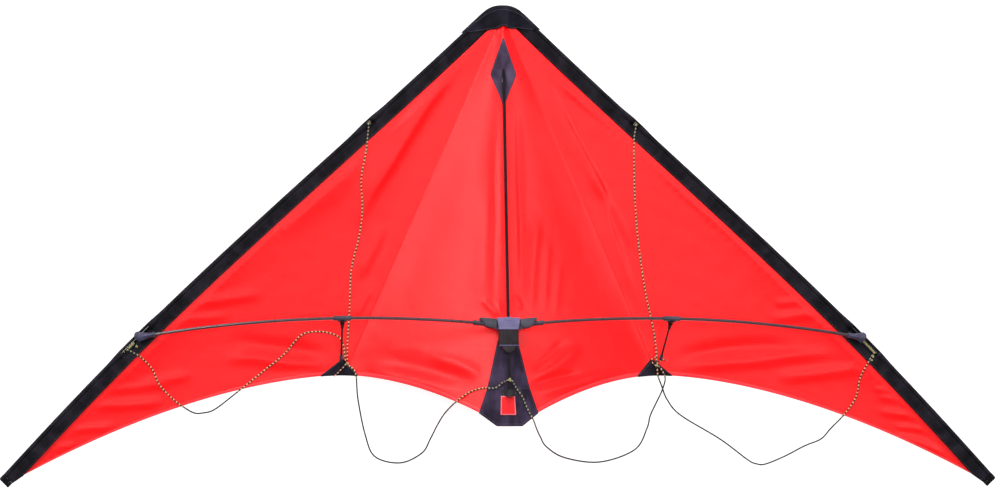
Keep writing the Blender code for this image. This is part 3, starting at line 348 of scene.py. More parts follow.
def sail_z(x, y):
    """Height of the sail's middle surface, with its folds."""
    x, y = np.broadcast_arrays(np.asarray(x, float), np.asarray(y, float))
    edge_x, v = ray_of(np.abs(x), y)
    z = SEWN_TOP_Z + v * (trailing_z(edge_x) - SEWN_TOP_Z)
    middle = SEWN_TOP_Z + (SAIL_TOP_Y - y) / (SAIL_TOP_Y - TAIL_Y) * (TAIL_Z - SEWN_TOP_Z)
    z = z + np.exp(-(edge_x / RIDGE_REACH) ** 2) * (seam_z(y) - middle)
    lift = edge_z(v) - (SEWN_TOP_Z + v * (WING_TIP_Z - SEWN_TOP_Z))
    z = z + np.minimum(1.0, edge_x / WING_TIP_X) ** EDGE_LIFT_POWER * lift
    return z + fold_relief(x, y)


def sail_plan(v, edge_x, side):
    """Plan position: share v down the ray from the top to the trailing edge at edge_x."""
    u = edge_x / WING_TIP_X
    bow = edge_bow(v) * u * u - GAP * u
    x = v * edge_x + EDGE_OUT[0] * bow
    y = SAIL_TOP_Y + v * (trailing_y(edge_x) - SAIL_TOP_Y) + EDGE_OUT[1] * bow
    far = v * SLOT_BLEND
    half = np.where((y > SLOT_END_Y) & (y < SLOT_TOP_Y), SLOT_HALF, GAP / 2)
    x = np.where(x < far, half + x * (far - half) / far, x)
    return x * side, y


def sail_points(v, edge_x, side):
    x, y = sail_plan(v, edge_x, side)
    return np.stack([x, y, sail_z(x, y)], axis=-1)


# Camera, light and floor

CAMERA_YAW = math.radians(5.65)
CAMERA_PITCH = math.radians(0.84)
CAMERA_ROLL = math.radians(-0.24)
CAMERA_FAR = 8.83
CAMERA_LENS = 197.3
CAMERA_TARGET = Vector((-7.2 * MM, 0, 50 * MM))


def camera():
    """The photograph's view: from high above, a little to the left."""
    flat = (-math.sin(CAMERA_YAW), math.sin(CAMERA_PITCH))
    back = Vector((*flat, math.sqrt(1 - flat[0] ** 2 - flat[1] ** 2)))
    right = (-back).cross(Vector((math.sin(CAMERA_ROLL), math.cos(CAMERA_ROLL), 0))).normalized()
    turn = Matrix((right, back.cross(right), back)).transposed()
    data = bpy.data.cameras.new("camera")
    data.lens = CAMERA_LENS
    data.sensor_width = 36
    data.clip_end = 100
    obj = bpy.data.objects.new("camera", data)
    bpy.context.scene.collection.objects.link(obj)
    obj.location = CAMERA_TARGET + back * CAMERA_FAR
    obj.rotation_euler = turn.to_euler()
    bpy.context.scene.camera = obj


def soft_box(name, place, target, size, power):
    """A square studio light turned towards a point."""
    data = bpy.data.lights.new(name, "AREA")
    data.shape = "SQUARE"
    data.size = size
    data.energy = power
    obj = bpy.data.objects.new(name, data)
    bpy.context.scene.collection.objects.link(obj)
    obj.location = place
    obj.rotation_euler = (Vector(place) - Vector(target)).to_track_quat("Z", "Y").to_euler()


def studio():
    world = bpy.data.worlds.new("studio")
    bpy.context.scene.world = world
    world.use_nodes = True
    world.node_tree.nodes["Background"].inputs["Color"].default_value = (1, 1, 1, 1)
    world.node_tree.nodes["Background"].inputs["Strength"].default_value = 0.35
    soft_box("key", (-3.2, 2.2, 3.6), (0, 0, 0), 2.2, 200)
    soft_box("fill", (3.4, 1.2, 4.0), (0, 0, 0), 2.6, 130)
    soft_box("back", (0.2, 4.4, 1.9), (0, 0, 0), 1.8, 150)
    soft_box("top", (0, 0.6, 9), (0, 0, 0), 2.4, 210)
    bpy.context.scene.view_settings.view_transform = "Standard"


# Shader sums

class Wire:
    """A shader socket that takes part in sums, such as 1 - wire * 2."""

    def __init__(self, finish, socket):
        self.finish = finish
        self.socket = socket

    def math(self, operation, *values):
        return self.finish.node("ShaderNodeMath", {"operation": operation}, dict(enumerate(values)))

    def __add__(self, other):
        return self.math("ADD", self, other)

    def __radd__(self, other):
        return self.math("ADD", other, self)

    def __sub__(self, other):
        return self.math("SUBTRACT", self, other)

    def __rsub__(self, other):
        return self.math("SUBTRACT", other, self)

    def __mul__(self, other):
        return self.math("MULTIPLY", self, other)

    def __truediv__(self, other):
        return self.math("DIVIDE", self, other)

    def __abs__(self):
        return self.math("ABSOLUTE", self)

    def wave(self, pitch, shift=0.0):
        """A sine wave along this value, from 0 to 1."""
        return self.math("SINE", (self / pitch + shift) * (2 * math.pi)) * 0.5 + 0.5

    def lines(self, pitch, width):
        """1 on lines of a width that repeat at a pitch along this value, else 0."""
        away = abs(self.math("FRACT", self / pitch) - 0.5) * pitch
        return 1 - away.step(width * 0.35, width * 0.65)

    def step(self, low, high):
        """0 below low, 1 above high, smooth between."""
        return self.finish.node("ShaderNodeMapRange", {"interpolation_type": "SMOOTHSTEP"},
                                {0: self, 1: low, 2: high})


class Finish:
    """A material in the making."""

    def __init__(self, name, colour, roughness, **fixed):
        self.material = bpy.data.materials.new(name)
        self.material.use_nodes = True
        self.material.diffuse_color = (*colour, 1)
        self.tree = self.material.node_tree
        self.shader = self.tree.nodes["Principled BSDF"]
        self.paint("Base Color", colour)
        self.paint("Roughness", roughness)
        for socket, value in fixed.items():
            self.paint(socket.replace("_", " "), value)

    def feed(self, socket, value):
        if isinstance(value, Wire):
            self.tree.links.new(value.socket, socket)
        elif socket.type == "RGBA":
            socket.default_value = (*value, 1)
        else:
            socket.default_value = value

    def paint(self, socket, value):
        self.feed(self.shader.inputs[socket], value)

    def node(self, kind, settings=None, inputs=None, output=0):
        made = self.tree.nodes.new(kind)
        for name, value in (settings or {}).items():
            setattr(made, name, value)
        for key, value in (inputs or {}).items():
            self.feed(made.inputs[key], value)
        return Wire(self, made.outputs[output])

    def place(self):
        return self.node("ShaderNodeTexCoord", output="Object")

    def cloth_place(self):
        return self.node("ShaderNodeTexCoord", output="UV")

    def parts(self, vector):
        """The x, y and z of a vector."""
        made = self.node("ShaderNodeSeparateXYZ", inputs={0: vector})
        return [Wire(self, socket) for socket in made.socket.node.outputs]

    def mix(self, share, low, high):
        return self.node("ShaderNodeMix", {"data_type": "RGBA"}, {0: share, 6: low, 7: high}, 2)

    def noise(self, where, scale, detail=2.0, stretch=None):
        if stretch:
            where = self.node("ShaderNodeMapping", inputs={"Vector": where, "Scale": stretch})
        return self.node("ShaderNodeTexNoise", inputs={"Vector": where, "Scale": scale, "Detail": detail})

    def bump(self, height, deep, under=None):
        inputs = {"Height": height, "Distance": deep}
        if under:
            inputs["Normal"] = under
        return self.node("ShaderNodeBump", inputs=inputs)


def weave(u, v, pitch):
    """Over-and-under threads of a plain weave, from 0 to 1."""
    over = u.wave(2 * pitch) * v.wave(pitch)
    under = (1 - u.wave(2 * pitch)) * v.wave(pitch, 0.5)
    return over + under


# Dark red of painted shade along the hem's folded edge
FOLD_SHADE_RED = (0.45, 0.001, 0.004)
RIPSTOP_GRID = 5.2 * MM
RIPSTOP_CORD = 0.7 * MM
SAIL_THREAD = 0.42 * MM
TAPE_RIB = 1.4 * MM
TAPE_PICK = 0.9 * MM
STRAND_PITCH = 1.9 * MM
TRACER_PITCH = 6 * MM


def ripstop(name, deep, pale, shaded_fold=None):
    """Sail cloth: fine plain weave with thicker threads every few millimetres, with painted shade along a
    fold line when one is given.
    """
    finish = Finish(name, pale, 0.38, Specular_IOR_Level=0.22, Sheen_Weight=0.01, Sheen_Roughness=0.4)
    where = finish.cloth_place()
    u, v, _ = finish.parts(where)
    grid = u.math("MAXIMUM", u.lines(RIPSTOP_GRID, RIPSTOP_CORD), v.lines(RIPSTOP_GRID, RIPSTOP_CORD))
    cloud = finish.noise(where, 9, 3)
    grain = finish.noise(where, 900, 2)
    colour = finish.mix(cloud.step(0.3, 0.7) * 0.7 + grid * 0.3, deep, pale)
    # painted shade: a dark red line along a fold of the cloth, here the hem's folded edge
    if shaded_fold:
        colour = finish.mix(1 - abs(v - shaded_fold).step(1.2 * MM, 2.2 * MM), colour, FOLD_SHADE_RED)
    finish.paint("Base Color", colour)
    finish.paint("Roughness", 0.31 + cloud * 0.13 + grid * 0.05)
    crush = finish.bump(finish.noise(where, 30, 2), 0.7 * MM)
    threads = grid * 0.6 + weave(u, v, SAIL_THREAD) * 0.35 + grain * 0.15
    finish.paint("Normal", finish.bump(threads, 0.07 * MM, crush))
    return finish.material


def nylon(name, deep, pale, pitch=0.8 * MM, gloss=0.5, shine=0.07):
    """Coarse black cloth with a slight sheen."""
    finish = Finish(name, pale, gloss, Specular_IOR_Level=shine, Sheen_Weight=0.01, Sheen_Roughness=0.35)
    where = finish.cloth_place()
    u, v, _ = finish.parts(where)
    threads = weave(u, v, pitch)
    cloud = finish.noise(where, 28, 3)
    worn = finish.noise(where, 70, 2, (1, 0.3, 1))
    shade = cloud.step(0.35, 0.72) * 0.5 + worn.step(0.4, 0.75) * 0.3 + threads * 0.2
    finish.paint("Base Color", finish.mix(shade, deep, pale))
    finish.paint("Roughness", gloss - 0.08 + cloud * 0.2)
    crush = finish.bump(finish.noise(where, 95, 3), 0.9 * MM)
    finish.paint("Normal", finish.bump(threads, 0.16 * MM, crush))
    return finish.material


def webbing(name, deep, pale, sheen=0.05):
    """Woven tape with ribs along it."""
    finish = Finish(name, pale, 0.6, Specular_IOR_Level=0.2, Sheen_Weight=sheen)
    u, v, _ = finish.parts(finish.cloth_place())
    ribs = v.wave(TAPE_RIB) * 0.6 + u.wave(TAPE_PICK) * 0.4
    finish.paint("Base Color", finish.mix(ribs, deep, pale))
    finish.paint("Normal", finish.bump(ribs, 0.25 * MM))
    return finish.material


PALE_TRACER = (0.52, 0.52, 0.34)


def braid(name, dark, tracer):
    """Braided cord with a tracer: tinted warm over the red cloth as painted red bounce light, paler over
    black, unseen on the floor.
    """
    finish = Finish(name, dark, 0.6, Specular_IOR_Level=0.3)
    u, v, _ = finish.parts(finish.cloth_place())
    strands = (u / STRAND_PITCH + v * 2).wave(1) * (u / STRAND_PITCH - v * 2).wave(1)
    fleck = (u / TRACER_PITCH + v * 0.25).wave(1).step(0.5, 0.75)
    shade = finish.noise(finish.place(), 700, 2)
    shown_and_red_bounce = finish.node("ShaderNodeAttribute", {"attribute_name": "tracer"}, output=2)
    # painted red bounce light: the tracer turns warm where the cord lies over the red sail
    lit = finish.mix(shown_and_red_bounce.step(0.6, 0.9), PALE_TRACER, tracer)
    finish.paint("Base Color", finish.mix(fleck * (0.6 + shade * 0.4) * shown_and_red_bounce, dark, lit))
    finish.paint("Normal", finish.bump(strands + shade * 0.3, 0.25 * MM))
    return finish.material


def moulded(name, deep, pale, gloss=0.42, grain=1400, shine=0.3):
    """Moulded plastic with a fine grain, faint flow marks and scuffs."""
    finish = Finish(name, pale, gloss, Specular_IOR_Level=shine)
    where = finish.place()
    flow = finish.noise(where, 60, 3)
    fine = finish.noise(where, grain, 2)
    scuff = finish.noise(where, 420, 2, (1, 0.15, 1)).step(0.62, 0.74)
    finish.paint("Base Color", finish.mix(flow.step(0.3, 0.7) * 0.7 + scuff * 0.3, deep, pale))
    finish.paint("Roughness", gloss + flow * 0.12 + scuff * 0.12 - 0.06)
    finish.paint("Normal", finish.bump(fine + flow * 0.8, 0.05 * MM))
    return finish.material


def fibreglass(name, deep, pale, shine, coat, coat_rough=0.1):
    """Pultruded rod: glossy, with faint streaks of fibre."""
    finish = Finish(name, pale, 0.25, Specular_IOR_Level=shine, Coat_Weight=coat,
                    Coat_Roughness=coat_rough)
    where = finish.place()
    streak = finish.noise(where, 260, 2, (1, 0.06, 1))
    cross = finish.noise(where, 260, 2, (0.06, 1, 1))
    finish.paint("Base Color", finish.mix((streak + cross) * 0.5, deep, pale))
    finish.paint("Roughness", 0.2 + streak * 0.2)
    finish.paint("Normal", finish.bump(streak + cross, 0.04 * MM))
    return finish.material


def thread(name, deep, pale):
    """Sewing thread with its twist."""
    finish = Finish(name, pale, 0.6, Sheen_Weight=0.3)
    where = finish.place()
    twist = finish.noise(where, 1500, 1)
    finish.paint("Base Color", finish.mix(twist, deep, pale))
    finish.paint("Normal", finish.bump(twist, 0.1 * MM))
    return finish.material


PAPER_GLOW = 0.84


def studio_paper(name, colour):
    """The floor: a roll of matt paper."""
    finish = Finish(name, colour, 0.9, Specular_IOR_Level=0.1, Emission_Color=(1, 1, 1),
                    Emission_Strength=PAPER_GLOW)
    where = finish.place()
    finish.paint("Base Color", finish.mix(finish.noise(where, 3, 2), colour, tuple(c * 0.99 for c in colour)))
    finish.paint("Normal", finish.bump(finish.noise(where, 60, 3), 0.1 * MM))
    return finish.material


RED_RIPSTOP = ripstop("red ripstop", (0.80, 0.0015, 0.003), (0.92, 0.004, 0.007))
# The hem's last number places a line of painted shade along its folded edge
RED_HEM = ripstop("red hem", (0.86, 0.015, 0.022), (0.95, 0.035, 0.045), 6.5 * MM)
BLACK_NYLON = nylon("black nylon", (0.001, 0.001, 0.0015), (0.017, 0.014, 0.022))
BLACK_CORDURA = nylon("black cordura", (0.001, 0.001, 0.002), (0.016, 0.015, 0.026), 1.1 * MM, 0.62, 0.06)
BLACK_WEBBING = webbing("black webbing", (0.006, 0.006, 0.008), (0.018, 0.017, 0.022))
# The warm tracer colour is painted red bounce light from the sail
BRIDLE_CORD = braid("bridle cord", (0.022, 0.016, 0.012), (0.86, 0.44, 0.24))
PALE_CORD = thread("pale cord", (0.12, 0.12, 0.04), (0.42, 0.38, 0.15))
DARK_CORD = thread("dark cord", (0.02, 0.02, 0.012), (0.20, 0.17, 0.07))
HUB_PLASTIC = moulded("grey violet plastic", (0.086, 0.075, 0.156), (0.138, 0.120, 0.250))
ARM_PLASTIC = moulded("dark plastic", (0.022, 0.019, 0.030), (0.052, 0.046, 0.072))
FITTING_PLASTIC = moulded("fitting plastic", (0.022, 0.020, 0.045), (0.050, 0.046, 0.095))
GRIP_RUBBER = moulded("grip rubber", (0.009, 0.006, 0.008), (0.026, 0.018, 0.023), 0.6, 900, 0.2)
TEE_RUBBER = moulded("tee rubber", (0.002, 0.002, 0.003), (0.009, 0.007, 0.010), 0.55, 900, 0.06)
ROD_GLASS = fibreglass("dark fibreglass", (0.003, 0.002, 0.003), (0.010, 0.008, 0.011), 0.1, 0.3)
# Painted highlight: the spreaders get a lighter, mauver base colour than the other rods
HIGHLIT_SPREADER_GLASS = fibreglass("glossy fibreglass with painted highlight", (0.018, 0.010, 0.014), (0.060, 0.034, 0.044), 0.35, 0.45,
                            0.34)
THIN_GLASS = fibreglass("thin fibreglass", (0.002, 0.002, 0.002), (0.006, 0.005, 0.007), 0.03, 0.05)
GREY_THREAD = thread("grey thread", (0.02, 0.02, 0.025), (0.07, 0.07, 0.085))
RED_THREAD = thread("red thread", (0.55, 0.01, 0.01), (0.8, 0.05, 0.05))
RED_LABEL = webbing("red label", (0.56, 0.003, 0.006), (0.68, 0.010, 0.016), 0.0)
TAG_BORDER = webbing("pale tag border", (0.75, 0.12, 0.14), (0.85, 0.25, 0.28))
VIOLET_CORDURA = nylon("violet black cordura", (0.007, 0.004, 0.010), (0.055, 0.038, 0.078), 1.1 * MM, 0.6)
DIAMOND_CORDURA = nylon("violet diamond cordura", (0.016, 0.010, 0.022), (0.090, 0.064, 0.118), 1.1 * MM, 0.6)
TRIANGLE_CORDURA = nylon("dark violet cordura", (0.002, 0.002, 0.003), (0.024, 0.018, 0.034), 1.1 * MM, 0.62)
PAPER = studio_paper("pale paper", (0.38, 0.38, 0.38))


# Making pieces

HARD_ANGLE = 35                      # edges sharper than this, in degrees, stay sharp in the looks
SOFT_ANGLE = 60


def add_piece(name, bm, skin, body, stands_for=(), smooth_angle=50):
    """Turns a bmesh into a named piece that rides on a body."""
    mesh = bpy.data.meshes.new(name)
    bm.to_mesh(mesh)
    bm.free()
    mesh.materials.append(skin)
    obj = bpy.data.objects.new(name, mesh)
    bpy.context.scene.collection.objects.link(obj)
    mesh.shade_smooth()
    mesh.set_sharp_from_angle(angle=math.radians(smooth_angle))
    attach(obj, body)
    if stands_for:
        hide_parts(*stands_for)
    return obj


def nearest(share, count):
    """The number of the point, of so many evenly shared ones, that lies at a share."""
    return np.rint(share * (count - 1)).astype(int)


def mapped_grid(columns, rows, place, cloth_place=None, closed=False):
    """A grid of faces laid on a surface: place(across, along) gives the points for shares 0 to 1."""
    bm = bmesh.new()
    bmesh.ops.create_grid(bm, x_segments=columns, y_segments=rows, size=1)
    across = np.array([(v.co.x + 1) / 2 for v in bm.verts])
    along = np.array([(v.co.y + 1) / 2 for v in bm.verts])
    points = place(across, along)
    uvs = cloth_place(across, along) if cloth_place else (points[:, 0], points[:, 1])
    uvs = np.stack(np.broadcast_arrays(*uvs), axis=-1)
    bm.verts.index_update()
    layer = bm.loops.layers.uv.new("UVMap")
    for face in bm.faces:
        for loop in face.loops:
            loop[layer].uv = uvs[loop.vert.index]
    for vert, point in zip(bm.verts, points):
        vert.co = point
    if closed:
        bmesh.ops.remove_doubles(bm, verts=bm.verts, dist=1e-6)
    return bm


def thicken(obj, thickness):
    """Gives a sheet its thickness, half to each side."""
    solid = obj.modifiers.new("cloth thickness", "SOLIDIFY")
    solid.thickness = thickness
    solid.offset = 0


def upwards(bm):
    """Turns the faces of a sheet upwards."""
    bmesh.ops.recalc_face_normals(bm, faces=bm.faces)
    if sum(face.normal.z for face in bm.faces) < 0:
        bmesh.ops.reverse_faces(bm, faces=bm.faces)


def close_ends(bm):
    """Fills the open ends of a tube and turns its faces outwards."""
    rims = [edge for edge in bm.edges if edge.is_boundary]
    if rims:
        bmesh.ops.holes_fill(bm, edges=rims, sides=0)
    bmesh.ops.recalc_face_normals(bm, faces=bm.faces)
    return bm


def lofted(rings, turns=False):
    """A closed skin over rings of points, with ends filled; with turns, V counts turns, not metres."""
    rings = np.asarray(rings)
    count, sides = rings.shape[:2]
    middle = rings.mean(axis=1)
    run = np.concatenate([[0], np.cumsum(np.linalg.norm(np.diff(middle, axis=0), axis=1))])
    around = np.linalg.norm(np.diff(rings[0], axis=0, append=rings[0][:1]), axis=1)
    around = np.concatenate([[0], np.cumsum(around)])

    def place(across, along):
        return rings[nearest(along, count), nearest(across, sides + 1) % sides]

    def cloth_place(across, along):
        return run[nearest(along, count)], (across if turns else around[nearest(across, sides + 1)])

    return close_ends(mapped_grid(sides, count - 1, place, cloth_place, closed=True))


def frames_along(line):
    """Unit vectors across and up at each point of a line."""
    ahead = np.gradient(line, axis=0)
    ahead /= np.linalg.norm(ahead, axis=1)[:, None]
    across = np.cross(ahead, (0.0, 0.0, 1.0))
    across /= np.linalg.norm(across, axis=1)[:, None]
    return across, np.cross(across, ahead)


def tube_rings(line, radius, sides=8):
    """Rings of points round a line."""
    across, above = frames_along(line)
    turn = np.arange(sides) * 2 * np.pi / sides
    return (line[:, None] + radius * (np.cos(turn)[None, :, None] * across[:, None]
                                      + np.sin(turn)[None, :, None] * above[:, None]))


# Soft pieces get a mesh of their own


def folds_away(obj, side=0):
    """Gives a soft piece a mesh of its own; the side makes no difference."""
    if side:
        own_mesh(obj)
    else:
        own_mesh(obj)


# Making hard pieces: bodies in a local frame, rounded along their sharp edges

def round_off(bm, width):
    """Rounds the sharp edges of a body."""
    sharp = [e for e in bm.edges if len(e.link_faces) == 2 and e.calc_face_angle() > math.radians(30)]
    bmesh.ops.bevel(bm, geom=sharp, offset=width, offset_type="OFFSET", segments=2, profile=0.5,
                    affect="EDGES", material=-1, clamp_overlap=True)
    return bm


def slab(outline, low, high, rounding=0.0):
    """A solid over a plan outline of (x, y) points in mm."""
    bm = bmesh.new()
    base = bm.faces.new([bm.verts.new((x * MM, y * MM, low * MM)) for x, y in outline])
    made = bmesh.ops.extrude_face_region(bm, geom=[base])
    top = [part for part in made["geom"] if isinstance(part, bmesh.types.BMVert)]
    bmesh.ops.translate(bm, vec=(0, 0, (high - low) * MM), verts=top)
    close_ends(bm)
    return round_off(bm, rounding * MM) if rounding else bm


def turned(profile, sides=24):
    """A body turned about X, from its profile of (along, radius) in mm."""
    bm = bmesh.new()
    line = [bm.verts.new((x * MM, 0, r * MM)) for x, r in profile]
    edges = [bm.edges.new(pair) for pair in zip(line, line[1:])]
    bmesh.ops.spin(bm, geom=line + edges, cent=(0, 0, 0), axis=(1, 0, 0), angle=2 * math.pi, steps=sides,
                   use_merge=True)
    bmesh.ops.remove_doubles(bm, verts=bm.verts, dist=1e-6)
    return close_ends(bm)


def arc(centre, radius, start, stop, steps):
    """Points on an arc, in degrees."""
    return [(centre[0] + radius * math.cos(math.radians(start + (stop - start) * i / steps)),
             centre[1] + radius * math.sin(math.radians(start + (stop - start) * i / steps)))
            for i in range(steps + 1)]


def placed(bm, frame_matrix):
    """Moves a body to its frame, with its faces outwards."""
    bmesh.ops.transform(bm, matrix=frame_matrix, verts=bm.verts)
    bmesh.ops.recalc_face_normals(bm, faces=bm.faces)
    return bm


def hard_piece(name, bodies, skin, body, stands_for=()):
    """Several placed bodies as one moulded piece."""
    whole = bmesh.new()
    for bm in bodies:
        mesh = bpy.data.meshes.new("body")
        bm.to_mesh(mesh)
        bm.free()
        whole.from_mesh(mesh)
        bpy.data.meshes.remove(mesh)
    add_piece(name, whole, skin, body, stands_for, HARD_ANGLE)


def frame_at(place, along, up):
    """A frame with X along a direction and Z as near as can be to up."""
    x = Vector(along).normalized()
    z = (Vector(up) - x * x.dot(Vector(up))).normalized()
    m = Matrix((x, z.cross(x), z)).transposed().to_4x4()
    m.translation = place
    return m


# The hub on the spine, its arms, the spreaders and the stand-offs

SPINE_DIR = Vector((0, -1, SPINE_SLOPE)).normalized()      # towards the tail
SPINE_UP = Vector((0, SPINE_SLOPE, 1)).normalized()
HUB_CENTRE = Vector((0, HUB_Y, float(spine_z(HUB_Y))))
ARM_PIVOT = HUB_CENTRE + Vector((HUB_PIVOT_X, 0, 0))


def mirrored(p, side):
    return Vector((p[0] * side, p[1], p[2]))


def hub_frame():
    """Local frame on the spine: X across, Y towards the tail, Z away from the sail."""
    m = Matrix((Vector((1, 0, 0)), SPINE_DIR, SPINE_UP)).transposed().to_4x4()
    m.translation = HUB_CENTRE
    return m


def spreader_point(t):
    """A point of the bent spreader of the right side: share t from the arm's pivot to the saddle."""
    middle = (SPREADER_MID.x - ARM_PIVOT.x) / (SPREADER_END.x - ARM_PIVOT.x)
    a = (t - middle) * (t - 1) / middle
    b = t * (t - 1) / (middle * (middle - 1))
    c = t * (t - middle) / (1 - middle)
    return ARM_PIVOT * a + SPREADER_MID * b + SPREADER_END * c


def arm_axis():
    """The right arm's hinge axis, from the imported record."""
    for joint in frame["joints"]:
        if joint["name"] == "spreader_right_fold":
            axis = Vector(joint["axis"]).normalized()
            return axis if axis.z > 0 else -axis


ARM_AXIS = arm_axis()
ARM_DIR = (spreader_point(1 / 23) - ARM_PIVOT).normalized()


def arm_frame(side):
    """Frame of a hub arm: X along the arm, Y towards the tail, Z the hinge axis."""
    axis, along = mirrored(ARM_AXIS, side), mirrored(ARM_DIR, side)
    along = (along - axis * along.dot(axis)).normalized()
    tail = axis.cross(along)
    if tail.y > 0:
        tail = -tail
    m = Matrix((along, tail, axis)).transposed().to_4x4()
    m.translation = mirrored(ARM_PIVOT, side)
    return m


def hub():
    """The tapered block on the spine, with a cheek for each arm and a thickened lower edge."""
    shell = [(-19, -9.5), (19, -9.5), (17.4, 0), (15.5, 9.6), (-15.5, 9.6), (-17.4, 0)]
    lip = [(-16.3, 6.4), (16.3, 6.4), (15.7, 10), (-15.7, 10)]
    collar = [(-5.2, -10.4), (5.2, -10.4), (5.2, -4), (-5.2, -4)]
    bodies = [slab(shell, -8, 8, 1.3), slab(lip, -8.2, 8.5, 0.6), slab(collar, -4.6, 8.6, 1)]
    hard_piece("hub_shell", [placed(bm, hub_frame()) for bm in bodies], HUB_PLASTIC, "hub", ["hub_block"])
    tongue = [(-9, -9), (-5, -8), *arc((0, 0), 6, -80, 80, 10), (-9.5, 9)]
    cheeks = [placed(slab(tongue, -3, 3, 0.5), arm_frame(side)) for side in SIDES.values()]
    hard_piece("hub_cheeks", cheeks, ARM_PLASTIC, "hub")


def hub_arm(name, side):
    """A wing-shaped arm: two cheeks at the hinge, a raised rim, and a ringed socket for the spreader."""
    wing = [(-5.4, -8.6), (19.6, -8.7), (21.6, -7.4), (12.2, 3.4), (8.5, 5.4), (4, 6.3),
            *arc((0, 0), 6.6, 90, 190, 6)]
    rim = [(1, -7.6), (18.9, -7.7), (20.2, -7), (11.6, 2.6), (7.5, 4.6), (1, 5.4)]
    panel = [(2.6, -6.3), (17.4, -6.4), (10.6, 1.6), (7, 3.3), (2.6, 4)]
    body = [(8.6, -8.2), (19.4, -8.2), (20.8, -7.2), (12, 2.8), (8.6, 4.8)]
    bodies = [slab(wing, 3.3, 7, 0.9), slab(wing, -7, -3.3, 0.9), slab(body, -6, 6), slab(rim, 6.6, 7.5, 0.4),
              slab(panel, 7, 7.9, 0.4)]
    bodies.append(slab(arc((0, 0), 2.7, 0, 345, 23), -7.6, 7.7, 0.4))
    bodies = [placed(bm, arm_frame(side)) for bm in bodies]
    socket = turned([(9, 0), (9, 4.1), (18, 4.1), (19, 3.9), (27, 3.8), (27.4, 4.3), (29.6, 4.3), (30, 4),
                     (30, 2.9), (17, 2.9), (17, 0)])
    bodies.append(placed(socket, frame_at(mirrored(ARM_PIVOT, side), mirrored(ARM_DIR, side), (0, 0, 1))))
    hard_piece("hub_arm_" + name, bodies, ARM_PLASTIC, "spreader_" + name, ["spreader_arm_" + name])


GRIP_RIBS = 9


def grip_section(scale):
    """Section of the grip in mm: rounded ribs on top and at the sides, flat underneath."""
    x = np.linspace(-15.2, 15.2, 8 * GRIP_RIBS + 1)
    rib = np.abs(np.sin(np.pi * (x + 15.2) / 30.4 * GRIP_RIBS)) ** 0.6
    top = np.stack([x, 6.6 + 1.3 * rib - 2.2 * (np.abs(x) / 15.2) ** 6], axis=-1)
    right = np.array([(16.0, 3.4), (16.3, 1.5), (16.0, -0.5), (16.3, -2.5), (15.8, -5), (14.6, -6.3)])
    left = right[::-1] * (-1, 1)
    return np.concatenate([top, right, left]) * scale


def hub_grip():
    """The ribbed rubber grip below the hub, with a light ring and a rounded stop under it."""
    ends = [(10.1, 0.9), (10.5, 0.965), (11.2, 1), (16, 0.985), (22, 0.975), (28, 0.985), (33.2, 1),
            (34, 0.965), (34.4, 0.9)]
    m = hub_frame()
    rings = []
    for along, scale in ends:
        rings.append([m @ Vector((x * MM, along * MM, z * MM)) for x, z in grip_section(scale)])
    add_piece("ribbed_grip", lofted(rings), GRIP_RUBBER, "hub", ["hub_grip"], SOFT_ANGLE)
    ring = [(-15.6, 34.8), (15.6, 34.8), (15, 36.2), (-15, 36.2)]
    hard_piece("collar_ring", [placed(slab(ring, -5.6, 7, 0.5), m)], HUB_PLASTIC, "frame")
    stop = [(-10.8, 36), (10.8, 36), (10.4, 40), *arc((0, 38.6), 9, 30, 150, 8), (-10.4, 40)]
    boss = [(-7.5, 37.4), (7.5, 37.4), (6.4, 45), (-6.4, 45)]
    bodies = [placed(slab(stop, -5.4, 6.4, 1.2), m), placed(slab(boss, 5, 7.4, 0.7), m)]
    hard_piece("spine_stop", bodies, GRIP_RUBBER, "frame", ["spine_collar"])


def end_cap():
    """The soft cap on the lower end of the spine."""
    cap = turned([(-9, 2.6), (-9, 3), (-8.6, 3.3), (-0.4, 3.3), (0.2, 2.7), (0.2, 0)])
    place = (0, SPINE_END_Y, float(spine_z(SPINE_END_Y)))
    cap = placed(cap, frame_at(place, SPINE_DIR, SPINE_UP))
    add_piece("spine_cap", cap, ARM_PLASTIC, "frame", ["spine_end_cap"])


def saddle_frame(side):
    """Frame of a saddle on its leading edge: X outwards, Y along the rod, Z up."""
    near = SADDLE_ALONG + np.array([-0.004, 0, 0.004])
    a, p, b = (Vector(point) for point in edge_points(near, ROD_OUT, 0.0, side))
    flat = Vector((b.x - a.x, b.y - a.y, 0)).normalized()
    out = Vector((-flat.y, flat.x, 0)) * side
    m = Matrix((out, flat, Vector((0, 0, 1)))).transposed().to_4x4()
    m.translation = p
    return m


def saddle(name, side):
    """The clamp round the leading-edge rod: a split barrel with ribs, and a seat for the spreader's end."""
    m = saddle_frame(side)
    top = (SADDLE_TOP - SADDLE_ROOM - m.translation.z) / MM
    half = [(-7.5, 0), (-7.5, 3.9), (-7, 4.6), (-4.9, 4.6), (-4.5, 4.1)]
    barrel = turned(half + [(-x, r) for x, r in half[::-1]], 28)
    barrel.transform(Matrix.Rotation(math.pi / 2, 4, "Z"))
    seat = [(-8, -6), (2, -6.4), *arc((2, 0), 6.4, -60, 60, 6), (2, 6.4), (-8, 6)]
    foot = [(-8.6, -5.4), (-3, -5.4), (-3, 5.4), (-8.6, 5.4)]
    bodies = [barrel, slab(seat, 2.4, top, 0.8), slab(foot, 1.0, 3.4, 0.6), slab(foot, -3.4, -1.0, 0.6)]
    bodies = [placed(bm, m) for bm in bodies]
    hard_piece("saddle_clamp_" + name, bodies, FITTING_PLASTIC, "edge_" + name, ["edge_saddle_" + name])


